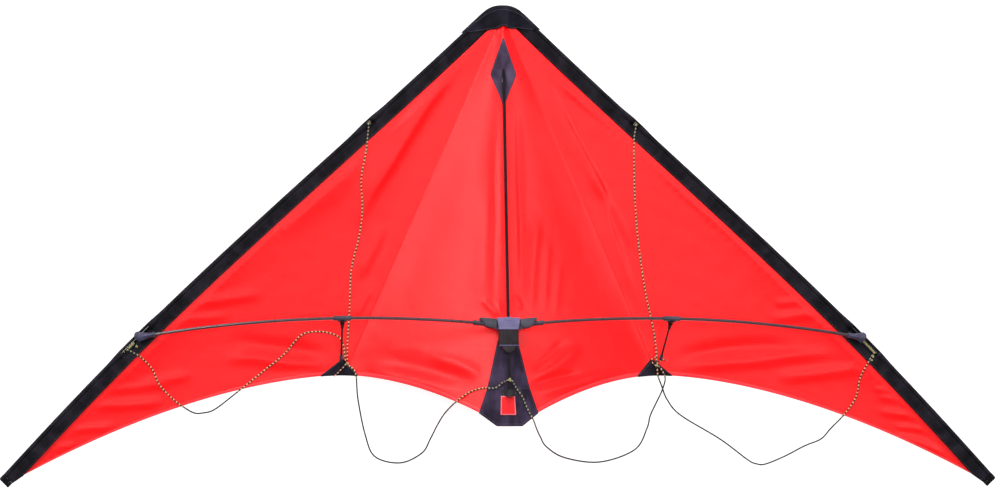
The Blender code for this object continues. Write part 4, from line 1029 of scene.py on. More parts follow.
def spreader_end(name, side):
    """The spreader's moulded end: an eye on the saddle's pin, webs, and a ringed socket."""
    end = mirrored(SPREADER_END, side)
    along = (end - mirrored(spreader_point(0.975), side)).normalized()
    flat = frame_at(Vector((end.x, end.y, SADDLE_TOP + GAP)), (along.x, along.y, 0), (0, 0, 1))
    eye = [(-11, -4.4), (-5, -5.6), *arc((0, 0), 6.6, -115, 115, 14), (-5, 5.6), (-11, 4.4)]
    rim = arc((0, 0), 4.9, 0, 345, 23)
    pin = arc((0, 0), 3, 0, 345, 23)
    web = [(-17, -1), (-5, -1), (-5, 1), (-17, 1)]
    bodies = [slab(eye, 0, 8.2, 1.1), slab(rim, 7.8, 8.9, 0.4), slab(pin, 8.4, 9.8, 0.5),
              slab(web, 2, 9.4, 0.4)]
    bodies = [placed(bm, flat) for bm in bodies]
    socket = turned([(-23, 2.9), (-23, 4), (-22.5, 4.4), (-20.6, 4.4), (-20.2, 3.9), (-12, 4.1), (-7, 4.6),
                     (-3, 4.2), (-1, 0)])
    bodies.append(placed(socket, frame_at(end, along, (0, 0, 1))))
    hard_piece("spreader_fitting_" + name, bodies, FITTING_PLASTIC, "spreader_" + name,
               ["spreader_end_" + name])


def tee(name, side):
    """The rubber tee on the spreader: a ringed barrel and a webbed, tapering stem to the stand-off; the
    barrel's lighter plastic is a painted highlight.
    """
    share = (SPREADER_MID.x - ARM_PIVOT.x) / (SPREADER_END.x - ARM_PIVOT.x)
    along = mirrored((spreader_point(share + 0.01) - spreader_point(share - 0.01)).normalized(), side)
    place, foot = mirrored(SPREADER_MID, side), mirrored(STANDOFF_FOOT, side)
    down = (foot - place).normalized()
    half = [(-14, 2.8), (-14, 3.7), (-13.5, 4.3), (-11.6, 4.3), (-11.2, 3.9)]
    barrel = turned(half + [(-x, r) for x, r in half[::-1]])
    stem = turned([(0, 0), (0, 4.9), (3.6, 4.8), (5.2, 4.4), (8, 4), (8.7, 3.6), (8.7, 0)])
    web = [(-10, 0), (10, 0), (9.2, 4), (7.4, 5.6), (6.2, 8.6), (-6.2, 8.6), (-7.4, 5.6), (-9.2, 4)]
    across = down.cross(along)
    web_frame = Matrix((along, down, along.cross(down))).transposed().to_4x4()
    web_frame.translation = place
    barrel = placed(barrel, frame_at(place, along, down))
    # Painted highlight: the barrel on top takes the lighter dark plastic, the stem below the blacker tee
    # rubber
    hard_piece("tee_barrel_" + name, [barrel], ARM_PLASTIC, "spreader_" + name, ["standoff_tee_" + name])
    bodies = [placed(stem, frame_at(place, down, across)), placed(slab(web, -1.9, 1.9, 0.7), web_frame)]
    hard_piece("tee_stem_" + name, bodies, TEE_RUBBER, "spreader_" + name)
    ferrule = turned([(12.4, 1.9), (12.6, 2.6), (13.8, 3.9), (15, 3.8), (18, 3.1), (22, 2.6), (26, 2.3),
                      (27.2, 2.5), (28, 2.3), (28.2, 1.9)], 20)
    ferrule = placed(ferrule, frame_at(place, down, across))
    add_piece("tee_ferrule_" + name, ferrule, TEE_RUBBER, "standoff_" + name)


def foot_cap(name, side):
    """The soft ringed cap on the stand-off's lower end."""
    tee_place, foot = mirrored(SPREADER_MID, side), mirrored(STANDOFF_FOOT, side)
    down = (foot - tee_place).normalized()
    cap = turned([(-11, 1.8), (-11, 2.5), (-10.4, 2.9), (-9, 2.9), (-8.6, 2.5), (-3, 2.3), (-2.4, 2.9),
                  (0, 2.9), (1, 2.2), (1.2, 0)], 20)
    cap = placed(cap, frame_at(foot, down, (0, 1, 0)))
    add_piece("foot_cap_" + name, cap, ARM_PLASTIC, "standoff_" + name, ["standoff_foot_" + name], 40)


# The bridle: cords that lie on the sail and the floor

def over_edge(x, y):
    """Lowest height for a cord's axis over a leading edge, or None beside it."""
    v, out = edge_place(x, y)
    if out < -3 * MM or out > SLEEVE_WIDTH + 3 * MM or not 0 < v < END_V:
        return None
    if out > ROD_OUT - 4.5 * MM:
        return edge_z(v) + ROD_R + CORD_R + 1.5 * GAP
    return edge_z(v) + FLANGE_THICK / 2 + CORD_R + 1.5 * GAP


def tail_patch_half(y):
    """Half the width of the tail patch at a height of the sail."""
    ys, halves = zip(*reversed(TAIL_PATCH_CORNERS))
    return np.interp(y / MM, ys, halves, left=0, right=0) * MM


def over_sail(x, y):
    """Lowest height for a cord's axis above a plan position."""
    half = abs(x)
    edge = over_edge(x, y)
    if edge is not None:
        return float(edge)
    if half < 4.5 * MM and y > SPINE_END_Y - 8 * MM:
        return spine_z(y) + ROD_R + CORD_R + 1.5 * GAP
    on_tail = half < tail_patch_half(y + 3 * MM) + 4 * MM and y < TAIL_PATCH_CORNERS[0][0] * MM
    if not on_tail and (half > WING_TIP_X or y < trailing_y(half) - 4 * MM):
        return CORD_FLOOR
    lift = CORD_LIFT
    if abs(half - STANDOFF_X) < 30 * MM and y < STANDOFF_Y + 34 * MM:
        lift += PATCH_COVER
    if on_tail:
        lift += PATCH_COVER + 2 * GAP
    return max(CORD_FLOOR, float(sail_z(x, y)) + lift)


def even_line(points, count):
    """Points evenly spread along a smooth curve through the given ones."""
    fine = rounded_line(points, 12)
    run = np.concatenate([[0], np.cumsum(np.linalg.norm(np.diff(fine, axis=0), axis=1))])
    wanted = np.linspace(0, run[-1], count)
    return np.stack([np.interp(wanted, run, fine[:, k]) for k in range(3)], axis=-1)


def laid_line(route, count=80):
    """A smooth line through plan points in mm; a third number lifts the point over its support."""
    points = []
    for x, y, *lift in route:
        z = over_sail(x * MM, y * MM) + (lift[0] * MM if lift else 0)
        points.append(np.array((x * MM, y * MM, z)))
    line = even_line(points, count)
    for p in line:
        p[2] = max(p[2], over_sail(p[0], p[1]))
    return line


CORD_STEP = 2.2 * MM
KNOT_CORD_R = 0.85 * MM
KNOT_END_R = 0.9 * MM


def tracer_at(x, y):
    """How much of a cord's tracer shows at a plan position; full strength also gives it the warm tint of
    painted red bounce light.
    """
    if over_sail(x, y) <= 2 * CORD_FLOOR:
        return 0.0
    on_tail = abs(x) < tail_patch_half(y) and y < TAIL_PATCH_CORNERS[0][0] * MM
    return 0.6 if on_tail or over_edge(x, y) is not None else 1.0


def mark_tracer(obj, path):
    """Marks each point of a cord: 1 over the red sail, where the tracer takes a warm tint of painted red
    bounce light, 0.6 over black cloth, 0 over the floor.
    """
    over = np.array([tracer_at(p[0], p[1]) for p in path])
    over = np.convolve(np.pad(over, 3, mode="edge"), np.ones(7) / 7, mode="valid")
    places = np.array([v.co[:] for v in obj.data.vertices])
    closest = [int(np.argmin(((path - p) ** 2).sum(axis=1))) for p in places]
    obj.data.attributes.new("tracer", "FLOAT", "POINT").data.foreach_set("value", over[closest])


def body_of(side):
    """The body that a soft piece of a side rides on: an edge, or the frame for no side."""
    return {-1: "edge_left", 0: "frame", 1: "edge_right"}[side]


def bridle_cord(node, route, side):
    """One leg of the bridle: a braided cord along its route."""
    path = laid_line(route)
    length = float(np.linalg.norm(np.diff(path, axis=0), axis=1).sum())
    fine = even_line(list(path), int(length / CORD_STEP))
    skin = lofted(tube_rings(fine, CORD_LOOK_R), turns=True)
    obj = add_piece("cord_" + node, skin, BRIDLE_CORD, body_of(side), [node])
    mark_tracer(obj, fine)
    folds_away(obj, side)
    print(f"{obj.name} {length:.3f} m")


def knot_line(centre, size, turn):
    """The path of an overhand knot with its two ends pulled out."""
    t = np.linspace(-0.35, 2 * np.pi * 0.86, 60)
    x = np.sin(t) + 2 * np.sin(2 * t)
    y = np.cos(t) - 2 * np.cos(2 * t)
    z = -np.sin(3 * t)
    c, s = math.cos(turn), math.sin(turn)
    return np.array(centre) + size * np.stack([x * c - y * s, x * s + y * c, 0.7 * z], axis=-1)


def knot(name, place, height, stands_for, turn, size=0.62 * MM, side=0, skin=PALE_CORD):
    """A tied overhand knot at a plan place in mm, a height in mm over what it lies on."""
    x, y = place[0] * MM, place[1] * MM
    line = knot_line((x, y, over_sail(x, y) + height * MM), size, turn)
    obj = add_piece(name, lofted(tube_rings(line, KNOT_CORD_R), turns=True), skin, body_of(side), stands_for)
    folds_away(obj, side)
    return obj


def knot_end(name, route):
    """A short free end of cord beside a tow knot."""
    path = laid_line(route, 24)
    obj = add_piece(name, lofted(tube_rings(path, KNOT_END_R), turns=True), BRIDLE_CORD, "frame")
    mark_tracer(obj, path)
    folds_away(obj)


def winding(name, span, centre, radius, thick, pitch, side, skin=PALE_CORD):
    """Cord wound round a leading-edge rod, or in a bundle beside it, in an opening of the sleeve."""
    turns = int((span[1] - span[0]) * EDGE_LENGTH / pitch)
    turn = np.linspace(0, 2 * np.pi * turns, 14 * turns + 1)
    v = np.linspace(*span, len(turn))
    line = edge_points(v, centre[0] + radius * np.cos(turn), centre[1] + radius * np.sin(turn), side)
    add_piece(name, lofted(tube_rings(line, thick, 6), turns=True), skin, body_of(side))


# Routes of the bridle's legs in plan, in mm, with the side whose leading edge carries the leg

BRIDLE_LEGS = {
    "bridle_upper_left": (-1, [
        (-217.5, 197.5), (-217.5, 190), (-219, 175), (-221.5, 151), (-229, 108), (-227, 57), (-232, 13),
        (-244, -40), (-247, -110), (-249.5, -155), (-250, -180), (-250, -187.2)]),
    "bridle_outer_left": (-1, [
        (-606, -168), (-598, -172), (-583, -181), (-565, -200), (-554, -224), (-534, -246), (-516, -260),
        (-497, -271), (-482, -271), (-463, -265), (-426, -236), (-389, -206), (-352, -176), (-337, -158),
        (-322, -143.5), (-300, -139.5), (-278, -142), (-262, -150), (-256, -163), (-254, -180),
        (-252.5, -187.3)]),
    "bridle_inner_left": (0, [
        (-247, -194.5), (-237, -207), (-232, -250), (-220, -307), (-204, -342), (-163, -352), (-128, -336, 1),
        (-116, -313, 16), (-107, -289, 44), (-97, -268, 72), (-81, -247), (-61, -232.5), (-41, -226),
        (-22, -225.6), (-11, -217), (-4, -213)]),
    "bridle_upper_right": (1, [
        (217.5, 197.5), (216.5, 190), (214.5, 175), (214, 152), (216.5, 75), (222, 10), (234, -71),
        (249, -140), (253, -175), (253.5, -189)]),
    "bridle_outer_right": (1, [
        (608, -171), (603, -179), (596, -192), (585.5, -214), (579.5, -245), (560, -274), (539.5, -298),
        (524.5, -314), (498, -325), (465, -342), (434, -354.5), (420, -354.5), (405, -348), (359, -314),
        (294, -275), (272, -250), (262, -226), (255.5, -210), (254.5, -197)]),
    "bridle_inner_right": (0, [
        (4, -213), (11, -225), (21.5, -240), (27, -254), (34, -268), (40, -278, 131), (50, -293, 80),
        (60, -308, 44), (74, -326, 10), (105, -344), (162, -351), (219, -331), (239, -296), (244, -276),
        (256, -250, 1.5), (262, -237, 2.8), (268, -217, 2.8), (263, -203, 1), (257.5, -195.5)]),
}


def tow_knots():
    """The tow knots with their free ends, and the knot that ties the inner legs to the spine."""
    knot("tow_knot_left_tied", (-250, -191), 1.4, ["tow_knot_left"], 0.4)
    knot("tow_knot_right_tied", (253.9, -194.1), 0.9, ["tow_knot_right"], 1.2)
    knot_end("tow_knot_left_end", [(-252, -192), (-258, -199), (-266, -207), (-271, -212)])
    knot_end("tow_knot_right_end", [(254, -191), (259, -187), (266, -184), (270, -186)])
    knot_end("tow_knot_right_loop", [(252, -194), (247, -190), (246, -183), (251, -181), (255, -186)])
    knot("tail_knot_tied", (0, -212), KNOT_R / MM - 0.8, ["tail_knot"], 0.8, 0.8 * MM)


def upper_ties():
    """Where the upper legs leave the sleeves: a dark knot, and cord wound round the rod."""
    knot("upper_knot_left_tied", (-222.2, 150.5), 0.4, (), 0.9, 0.5 * MM, -1, DARK_CORD)
    knot("upper_knot_right_tied", (214, 152), 0.4, (), 0.2, 0.5 * MM, 1, DARK_CORD)
    reach = 3.4 * MM / EDGE_LENGTH
    span = (UPPER_KNOT_ALONG - reach, UPPER_KNOT_ALONG + reach)
    for name, side in SIDES.items():
        winding("upper_winding_" + name, span, (ROD_OUT, 0), ROD_R + 0.9 * MM, 0.85 * MM, 1.8 * MM, side,
                DARK_CORD)


def lower_ties():
    """Where the outer legs leave the sleeves beside the saddles: bundles of pale cord, and their knots."""
    winding("lower_winding_left", (0.7433, 0.7547), (17.4 * MM, 3.4 * MM), 1.4 * MM, 0.6 * MM, 2 * MM, -1)
    winding("rod_whipping_left", (0.745, 0.766), (ROD_OUT, 0), ROD_R + 0.55 * MM, 0.45 * MM, 4.5 * MM, -1)
    knot("lower_knot_left_tied", edge_plan(0.744, 10.5 * MM, -1), 0.4, (), 1.1, 0.5 * MM, -1)
    winding("lower_winding_right", (0.7374, 0.7633), (16.5 * MM, 3.6 * MM), 1.3 * MM, 0.6 * MM, 1.9 * MM, 1)
    knot("lower_knot_right_tied", edge_plan(0.7641, 10.5 * MM, 1), 0.4, (), 0.3, 0.55 * MM, 1)
    knot("lower_bead_right_tied", edge_plan(0.7668, 4.8 * MM, 1), 0.2, (), 1.3, 0.36 * MM, 1)


def bridle():
    for node, (side, route) in BRIDLE_LEGS.items():
        bridle_cord(node, route, side)
    tow_knots()
    upper_ties()
    lower_ties()


# The sail cloth

SAIL_ROWS = 190
INNER_COLUMNS = 110
OUTER_COLUMNS = 140


def sail_piece(name, side, first_x, last_x, columns, body):
    """A part of the sail between two rays from its top, as one sheet of cloth."""
    def place(across, along):
        share = 0.6 * ease(across) + 0.4 * across
        v = SAIL_FIRST_V + (1 - SAIL_FIRST_V) * along
        return sail_points(v, first_x + (last_x - first_x) * share, side)

    bm = mapped_grid(columns, SAIL_ROWS, place)
    upwards(bm)
    area = sum(face.calc_area() for face in bm.faces)
    obj = add_piece(name, bm, RED_RIPSTOP, body, ["sail_left" if side < 0 else "sail_right"], 180)
    thicken(obj, CLOTH_THICK)
    return obj, area


def sail():
    for name, side in SIDES.items():
        inner, area = sail_piece("sail_inner_" + name, side, 0.0, STANDOFF_X, INNER_COLUMNS, "frame")
        hem = trailing_hem(name, "inner", 44 * MM, STANDOFF_X, 110, "frame", side)
        for piece in (inner, *hem):
            folds_away(piece)
        outer, area = sail_piece("sail_outer_" + name, side, STANDOFF_X, WING_TIP_X, OUTER_COLUMNS,
                                 "edge_" + name)
        hem = trailing_hem(name, "outer", STANDOFF_X, WING_TIP_X * 0.998, 260, "edge_" + name, side)
        for piece in (outer, *hem):
            folds_away(piece, side)


# Stitches

STITCH = (1.25 * MM, 0.3 * MM, 0.22 * MM)
STITCH_PITCH = 3.1 * MM
SMALL_PITCH = 2.2 * MM


def stitches(name, line, skin, body, pitch=STITCH_PITCH):
    """A row of sewing stitches along a line."""
    line = np.asarray(line, float)
    length = np.linalg.norm(np.diff(line, axis=0), axis=1).sum()
    places = even_line(list(line), max(3, int(length / pitch)))
    bm = bmesh.new()
    for before, p, after in zip(places, places[1:], places[2:]):
        m = frame_at(Vector(p), after - before, (0, 0, 1)) @ Matrix.Diagonal((*STITCH, 1))
        bmesh.ops.create_uvsphere(bm, u_segments=6, v_segments=4, radius=1, matrix=m)
    return add_piece(name, bm, skin, body)


# The leading-edge sleeves

SLEEVE_CLOTH = 0.7 * MM
WRAP_R = 3.6 * MM
FLAP_UP = 0.85 * MM
FLAP_POINTS = 7
TENT_UP = 2.6 * MM                 # how far the cloth rises from its seam to the rod
SLEEVE_SLACK = 0.3 * MM            # small waves of the cloth between its seam and the rod
WINDOW_WIDENING = 0.42             # how much wider the cloth stands round the fittings in its openings
WINDOW_OUT = (11.5 * MM, 22.4 * MM)


def sleeve_section():
    """Middle line of the flat sleeve cloth, as (out, up): top flap, round the rod, bottom flap."""
    flap = [(out * MM, FLAP_UP) for out in (-1.4, 2, 5, 8, 11, 13.4, 15)]
    wrap = arc((ROD_OUT, 0), WRAP_R, 146, -146, 16)
    return np.array(flap + wrap + [(out, -up) for out, up in reversed(flap)])


FLAP_TAPER = 10 * MM


def flange_share(v):
    """The flap narrows to nothing inside the nose patch, and a little past the sail's point."""
    least = (SLEEVE_R + 0.6 * MM) / ROD_OUT
    past = np.clip((v - 1) / (END_V - 1), 0, 1) * TIP_NARROWING / ROD_OUT
    return least + (1 - least) * np.clip((v - NOSE_V) * EDGE_LENGTH / FLAP_TAPER, 0, 1) - past


def slots():
    """Openings of the sleeve, as shares along the edge: over the saddle and over the bridle's knot."""
    for at, (before, after) in ((SADDLE_ALONG, SADDLE_SLOT), (UPPER_KNOT_ALONG, KNOT_SLOT)):
        yield at - before / EDGE_LENGTH, at + after / EDGE_LENGTH


def edge_sleeve(name, side):
    """The black sleeve: one cloth folded round the rod, sewn beside it, open at the slots."""
    stations = set(np.linspace(NOSE_V, END_V, 330))
    for low, high in slots():
        stations = {v for v in stations if min(abs(v - low), abs(v - high)) > 0.002} | {low, high}
    stations = np.array(sorted(stations))
    section = sleeve_section()
    run = np.concatenate([[0], np.cumsum(np.linalg.norm(np.diff(section, axis=0), axis=1))])

    def numbers(across, along):
        return nearest(across, len(section)), nearest(along, len(stations))

    def place(across, along):
        k, i = numbers(across, along)
        v, (out, up) = stations[i], section[k].T
        at = v * EDGE_LENGTH
        out = np.where(out < 15.5 * MM, ROD_OUT - (ROD_OUT - out) * flange_share(v), out)
        slack = SLEEVE_SLACK * np.sin(at / (5.3 * MM) + 2.5 * np.sin(at / (31 * MM)))
        swell = 0.05 * np.sin(at / (17 * MM) + 3 * np.sin(at / (70 * MM)) + out / (3 * MM))
        slope = np.clip((out - 1 * MM) / (15 * MM), 0, 1)
        tent = TENT_UP * slope * (1 + 2 * swell) + slack * np.sin(np.pi * slope)
        held = sum(np.exp(-(np.clip(np.maximum(low - v, v - high), 0, 1) * EDGE_LENGTH / (20 * MM)) ** 2)
                   for low, high in slots())
        on_rod = (k > FLAP_POINTS - 1) & (k < len(section) - FLAP_POINTS)
        wide = 1 + WINDOW_WIDENING * np.clip(held, 0, 1)
        out = np.where(on_rod, ROD_OUT + (out - ROD_OUT) * wide, out)
        tent = np.where(up > 0, tent * (1 - np.clip(held, 0, 1)), 0)
        up = np.where(on_rod, up * (1 + swell) * wide, up + tent)
        return edge_points(v, out, up, side)

    def cloth_place(across, along):
        k, i = numbers(across, along)
        return stations[i] * EDGE_LENGTH, run[k]

    bm = mapped_grid(len(section) - 1, len(stations) - 1, place, cloth_place)
    cut = []
    for face in bm.faces:
        middle = face.calc_center_median()
        v, out = edge_place(middle.x, middle.y)
        above = middle.z > edge_z(v)
        if above and WINDOW_OUT[0] < out < WINDOW_OUT[1] and any(low < v < high for low, high in slots()):
            cut.append(face)
    bmesh.ops.delete(bm, geom=cut, context="FACES")
    obj = add_piece("sleeve_cloth_" + name, bm, BLACK_NYLON, "edge_" + name, ["edge_sleeve_" + name],
                    SOFT_ANGLE)
    thicken(obj, SLEEVE_CLOTH)
    v = np.linspace(0.07, END_V - 0.002, 200)
    out = ROD_OUT - (ROD_OUT - 0.6 * MM) * flange_share(v)
    row = edge_points(v, out, np.full_like(v, FLAP_UP + SLEEVE_CLOTH * 0.55), side)
    stitches("sleeve_stitches_" + name, row, GREY_THREAD, "edge_" + name)


def tip_cap(name, side):
    """The folded end of the sleeve at the wing tip, sewn across."""
    flat = [(3.6, 1.5), (7, 1.4), (10.5, 1.6), (13, 2.4)]
    below = [(out, -up) for out, up in flat[::-1]]
    section = np.array([*flat, *arc((ROD_OUT / MM, 0), 4.25, 150, -150, 12), *below]) * MM
    stations = [(0.2, 0.97), (0.7, 1), (3, 1.01), (6, 1), (9, 0.99), (9.7, 0.96), (10, 0.9)]
    rings = []
    for along, scale in stations:
        v = np.full(len(section), END_V + along * MM / EDGE_LENGTH)
        rings.append(edge_points(v, 14 * MM + (section[:, 0] - 14 * MM) * scale, section[:, 1] * scale, side))
    add_piece("tip_cloth_" + name, lofted(rings), BLACK_NYLON, "edge_" + name, ["tip_cap_" + name],
              SOFT_ANGLE)
    v = np.full(9, END_V + 3.4 * MM / EDGE_LENGTH)
    row = edge_points(v, np.linspace(5 * MM, 12 * MM, 9), np.full(9, 1.75 * MM), side)
    stitches("tip_stitches_" + name, row, GREY_THREAD, "edge_" + name, SMALL_PITCH)


# The hem of the trailing edge

HEM_IN = 6.0 * MM
HEM_CLOTH = 0.5 * MM
HEM_UP = 0.62 * MM


def trailing_hem(name, part, first_x, last_x, columns, body, side):
    """The folded hem along the trailing edge."""
    upper = [(HEM_IN, HEM_UP), (4.4 * MM, HEM_UP * 0.93), (2.4 * MM, HEM_UP), (0.5 * MM, HEM_UP),
             (-0.35 * MM, HEM_UP * 0.7)]
    section = np.array([*upper, (-0.65 * MM, 0), *[(inset, -up) for inset, up in upper[::-1]]])

    def on_hem(share, inset, up):
        edge_x = first_x + (last_x - first_x) * share
        ray = np.hypot(edge_x, SAIL_TOP_Y - trailing_y(edge_x))
        points = sail_points(1 - inset / ray, edge_x, side)
        points[..., 2] += up
        return points

    def place(across, along):
        inset, up = section[nearest(across, len(section))].T
        return on_hem(along, inset, up)

    def cloth_place(across, along):
        return along * (last_x - first_x), across * 13 * MM

    bm = mapped_grid(len(section) - 1, columns, place, cloth_place)
    obj = add_piece(f"hem_{part}_{name}", bm, RED_HEM, body, (), SOFT_ANGLE)
    thicken(obj, HEM_CLOTH)
    share = np.linspace(0.01, 0.99, 160)
    row = on_hem(share, np.full_like(share, 4.4 * MM), np.full_like(share, HEM_UP + HEM_CLOTH * 0.6))
    return obj, stitches(f"hem_stitches_{part}_{name}", row, RED_THREAD, body, 3.3 * MM)


# The patches

def cover(name, columns, rows, place, skin, thickness, stands_for, unwanted=None):
    """A patch of cloth laid on the sail."""
    bm = mapped_grid(columns, rows, place)
    if unwanted:
        bmesh.ops.delete(bm, geom=[f for f in bm.faces if unwanted(f.calc_center_median())], context="FACES")
    upwards(bm)
    obj = add_piece(name, bm, skin, "frame", stands_for, SOFT_ANGLE)
    thicken(obj, thickness)
    folds_away(obj)
    return obj


def on_sail(line, lift):
    """A line of plan points in mm, laid on the sail."""
    line = np.array(line, float)
    shares = np.arange(24) / 24
    fine = [a + (b - a) * t for a, b in zip(line, line[1:]) for t in shares]
    fine = np.array([*fine, line[-1]]) * MM
    return np.column_stack([fine, sail_z(fine[:, 0], fine[:, 1]) + lift])


def patch_stitches(name, line, lift, skin, pitch=STITCH_PITCH):
    folds_away(stitches(name, on_sail(line, lift), skin, "frame", pitch))


DIAMOND = {"top": 338 * MM, "wide": 277 * MM, "bottom": 225 * MM, "half": 21 * MM}
DIAMOND_LIFT = 1.1 * MM
SLIT = (264.5 * MM, 286 * MM)        # where the rod passes through the diamond
PATCH_CLOTH = 0.8 * MM


def diamond_patch():
    """The black diamond that the spine comes through, with a slit for it."""
    slit = ROD_R - 0.1 * MM
    slit_share = 1 / 8

    def place(across, along):
        y = DIAMOND["top"] + (DIAMOND["bottom"] - DIAMOND["top"]) * along
        up = np.clip((DIAMOND["top"] - y) / (DIAMOND["top"] - DIAMOND["wide"]), 0, 1)
        down = np.clip((y - DIAMOND["bottom"]) / (DIAMOND["wide"] - DIAMOND["bottom"]), 0, 1)
        half = np.maximum(0.5 * MM, DIAMOND["half"] * np.minimum(up, down))
        a = np.abs(across * 2 - 1)
        near = np.minimum(slit, half * 0.4)
        beside = near + (half - near) * (a - slit_share) / (1 - slit_share)
        x = np.where(a > slit_share, beside, near * a / slit_share) * np.sign(across - 0.5)
        return np.stack([x, y, sail_z(x, y) + DIAMOND_LIFT], axis=-1)

    def in_slit(p):
        return abs(p.x) < slit * 0.9 and SLIT[0] < p.y < SLIT[1]

    cover("diamond_cloth", 16, 60, place, DIAMOND_CORDURA, PATCH_CLOTH, ["diamond_patch"], in_slit)
    outline = [(0, 334), (19, 277), (0, 229), (-19, 277), (0, 334)]
    patch_stitches("diamond_stitches", outline, DIAMOND_LIFT + 0.45 * MM, GREY_THREAD)


TAIL_STEP_Y = -224 * MM


def tail_patch():
    """The black patch over the tail: a second layer below its cross seam, with a stitched hem."""
    top, bottom = TAIL_PATCH_CORNERS[0][0] * MM, TAIL_PATCH_CORNERS[-1][0] * MM

    def place(across, along):
        y = top + (bottom - top) * along
        x = tail_patch_half(y) * (across * 2 - 1)
        lift = 1.1 * MM + 0.5 * MM * ease((TAIL_STEP_Y - y) / (1.2 * MM))
        return np.stack([x, y, sail_z(x, y) + lift], axis=-1)

    cover("tail_patch_cloth", 40, 90, place, VIOLET_CORDURA, PATCH_CLOTH, ["tail_patch"])
    side = [(14.5, -152), (32, -226), (45.3, -265)]
    outline = [(-x, y) for x, y in side] + [(-19.5, -282.5), (19.5, -282.5)] + side[::-1]
    patch_stitches("tail_patch_stitches", outline, 1.95 * MM, GREY_THREAD)
    patch_stitches("tail_seam_stitches", [(-32, -226), (32, -226)], 2.2 * MM, GREY_THREAD)


def tail_pocket():
    """The webbing pocket over the lower end of the spine."""
    start, stop, half = -228 * MM, -238.5 * MM, 12.2 * MM

    def place(across, along):
        x = half * (across * 2 - 1)
        y = start + (stop - start) * along
        over_rod = spine_z(y) + 3.2 * MM + 0.9 * MM
        flat = sail_z(x, y) + 2.3 * MM
        z = flat + np.maximum(0, over_rod - flat) * np.exp(-(x / (5.2 * MM)) ** 4)
        return np.stack([x, y, z], axis=-1)

    cover("tail_pocket", 28, 10, place, BLACK_WEBBING, 1.1 * MM, ["tail_loop"])
    for name, side in SIDES.items():
        line = [(9.8 * side, -229), (9.8 * side, -237.5)]
        patch_stitches("pocket_stitches_" + name, line, 3.0 * MM, GREY_THREAD, SMALL_PITCH)


def tail_tag():
    """The plain red tag, with a lighter folded border."""
    top, bottom, centre = -238 * MM, -268 * MM, -2 * MM

    def place_with(inset, lift):
        def place(across, along):
            y = top - inset + (bottom - top + 2 * inset) * along
            half = (11.2 + 1.1 * along) * MM - inset
            x = centre + half * (across * 2 - 1)
            wave = 0.25 * MM * np.sin(x / (4 * MM) + y / (7 * MM))
            return np.stack([x, y, sail_z(x, y) + lift + wave], axis=-1)
        return place

    cover("tag_border", 20, 24, place_with(0, 2.5 * MM), TAG_BORDER, 0.7 * MM, ["tail_tag"])
    cover("tag_face", 20, 24, place_with(1.7 * MM, 2.75 * MM), RED_LABEL, 0.5 * MM, ())
    frame_line = [(-12.2, -239), (8.2, -239), (9.3, -267), (-13.3, -267), (-12.2, -239)]
    patch_stitches("tag_stitches", frame_line, 2.95 * MM, RED_THREAD, 2.4 * MM)


# Plan of each stand-off patch along the trailing edge in mm: inner corner, point, outer corner
STANDOFF_PATCHES = {"left": (234, 269, 292), "right": (221, 257, 279)}
STANDOFF_APEX_V = 0.955


def standoff_patch(name, side):
    """The black triangle folded round the trailing edge under a stand-off."""
    inner, point, outer = (x * MM for x in STANDOFF_PATCHES[name])
    upper = [(1, 1.42), (0.66, 1.38), (0.33, 1.36), (0.04, 1.36), (-0.02, 1.1)]
    levels = [*upper, (-0.04, 0), *[(share, -up) for share, up in upper[::-1]]]

    def rise_at(edge_x):
        """Share of the patch's height at a place on the trailing edge."""
        before, after = (edge_x - inner) / (point - inner), (outer - edge_x) / (outer - point)
        return np.where(edge_x < point, before, after)

    def place(across, along):
        share, up = np.array(levels)[nearest(along, len(levels))].T
        edge_x = inner + (outer - inner) * across
        rise = rise_at(edge_x)
        depth = (1 - STANDOFF_APEX_V) * (0.04 + 0.96 * rise)
        v = np.where(share < 0, 1 + 0.0022 * -share / 0.04, 1 - depth * share)
        points = sail_points(v, edge_x, side)
        points[..., 2] += up * MM
        return points

    cover("standoff_patch_cloth_" + name, 36, len(levels) - 1, place, TRIANGLE_CORDURA, 0.6 * MM,
          ["standoff_patch_" + name])
    rising = np.linspace(inner + 2.5 * MM, point, 20)
    edge_x = np.concatenate([rising, np.linspace(point, outer - 2.5 * MM, 20)[1:]])
    line = sail_points(1 - (1 - STANDOFF_APEX_V) * (rise_at(edge_x) * 0.9 - 0.03), edge_x, side)
    line[:, 2] += 1.75 * MM
    folds_away(stitches("standoff_patch_stitches_" + name, line, GREY_THREAD, "frame", 2.6 * MM))


# The nose patch, an envelope of heavy cloth over the tops of the spine and of both leading edges

NOSE_OUT = SLEEVE_WIDTH + 1.6 * MM
NOSE_BEND_V = 0.03
NOSE_CORNER_V = {"left": 0.064, "right": 0.056}
NOSE_COLUMNS = 120
NOSE_MIDDLE_Z = 5.2                  # in mm, between the upper and the lower cloth


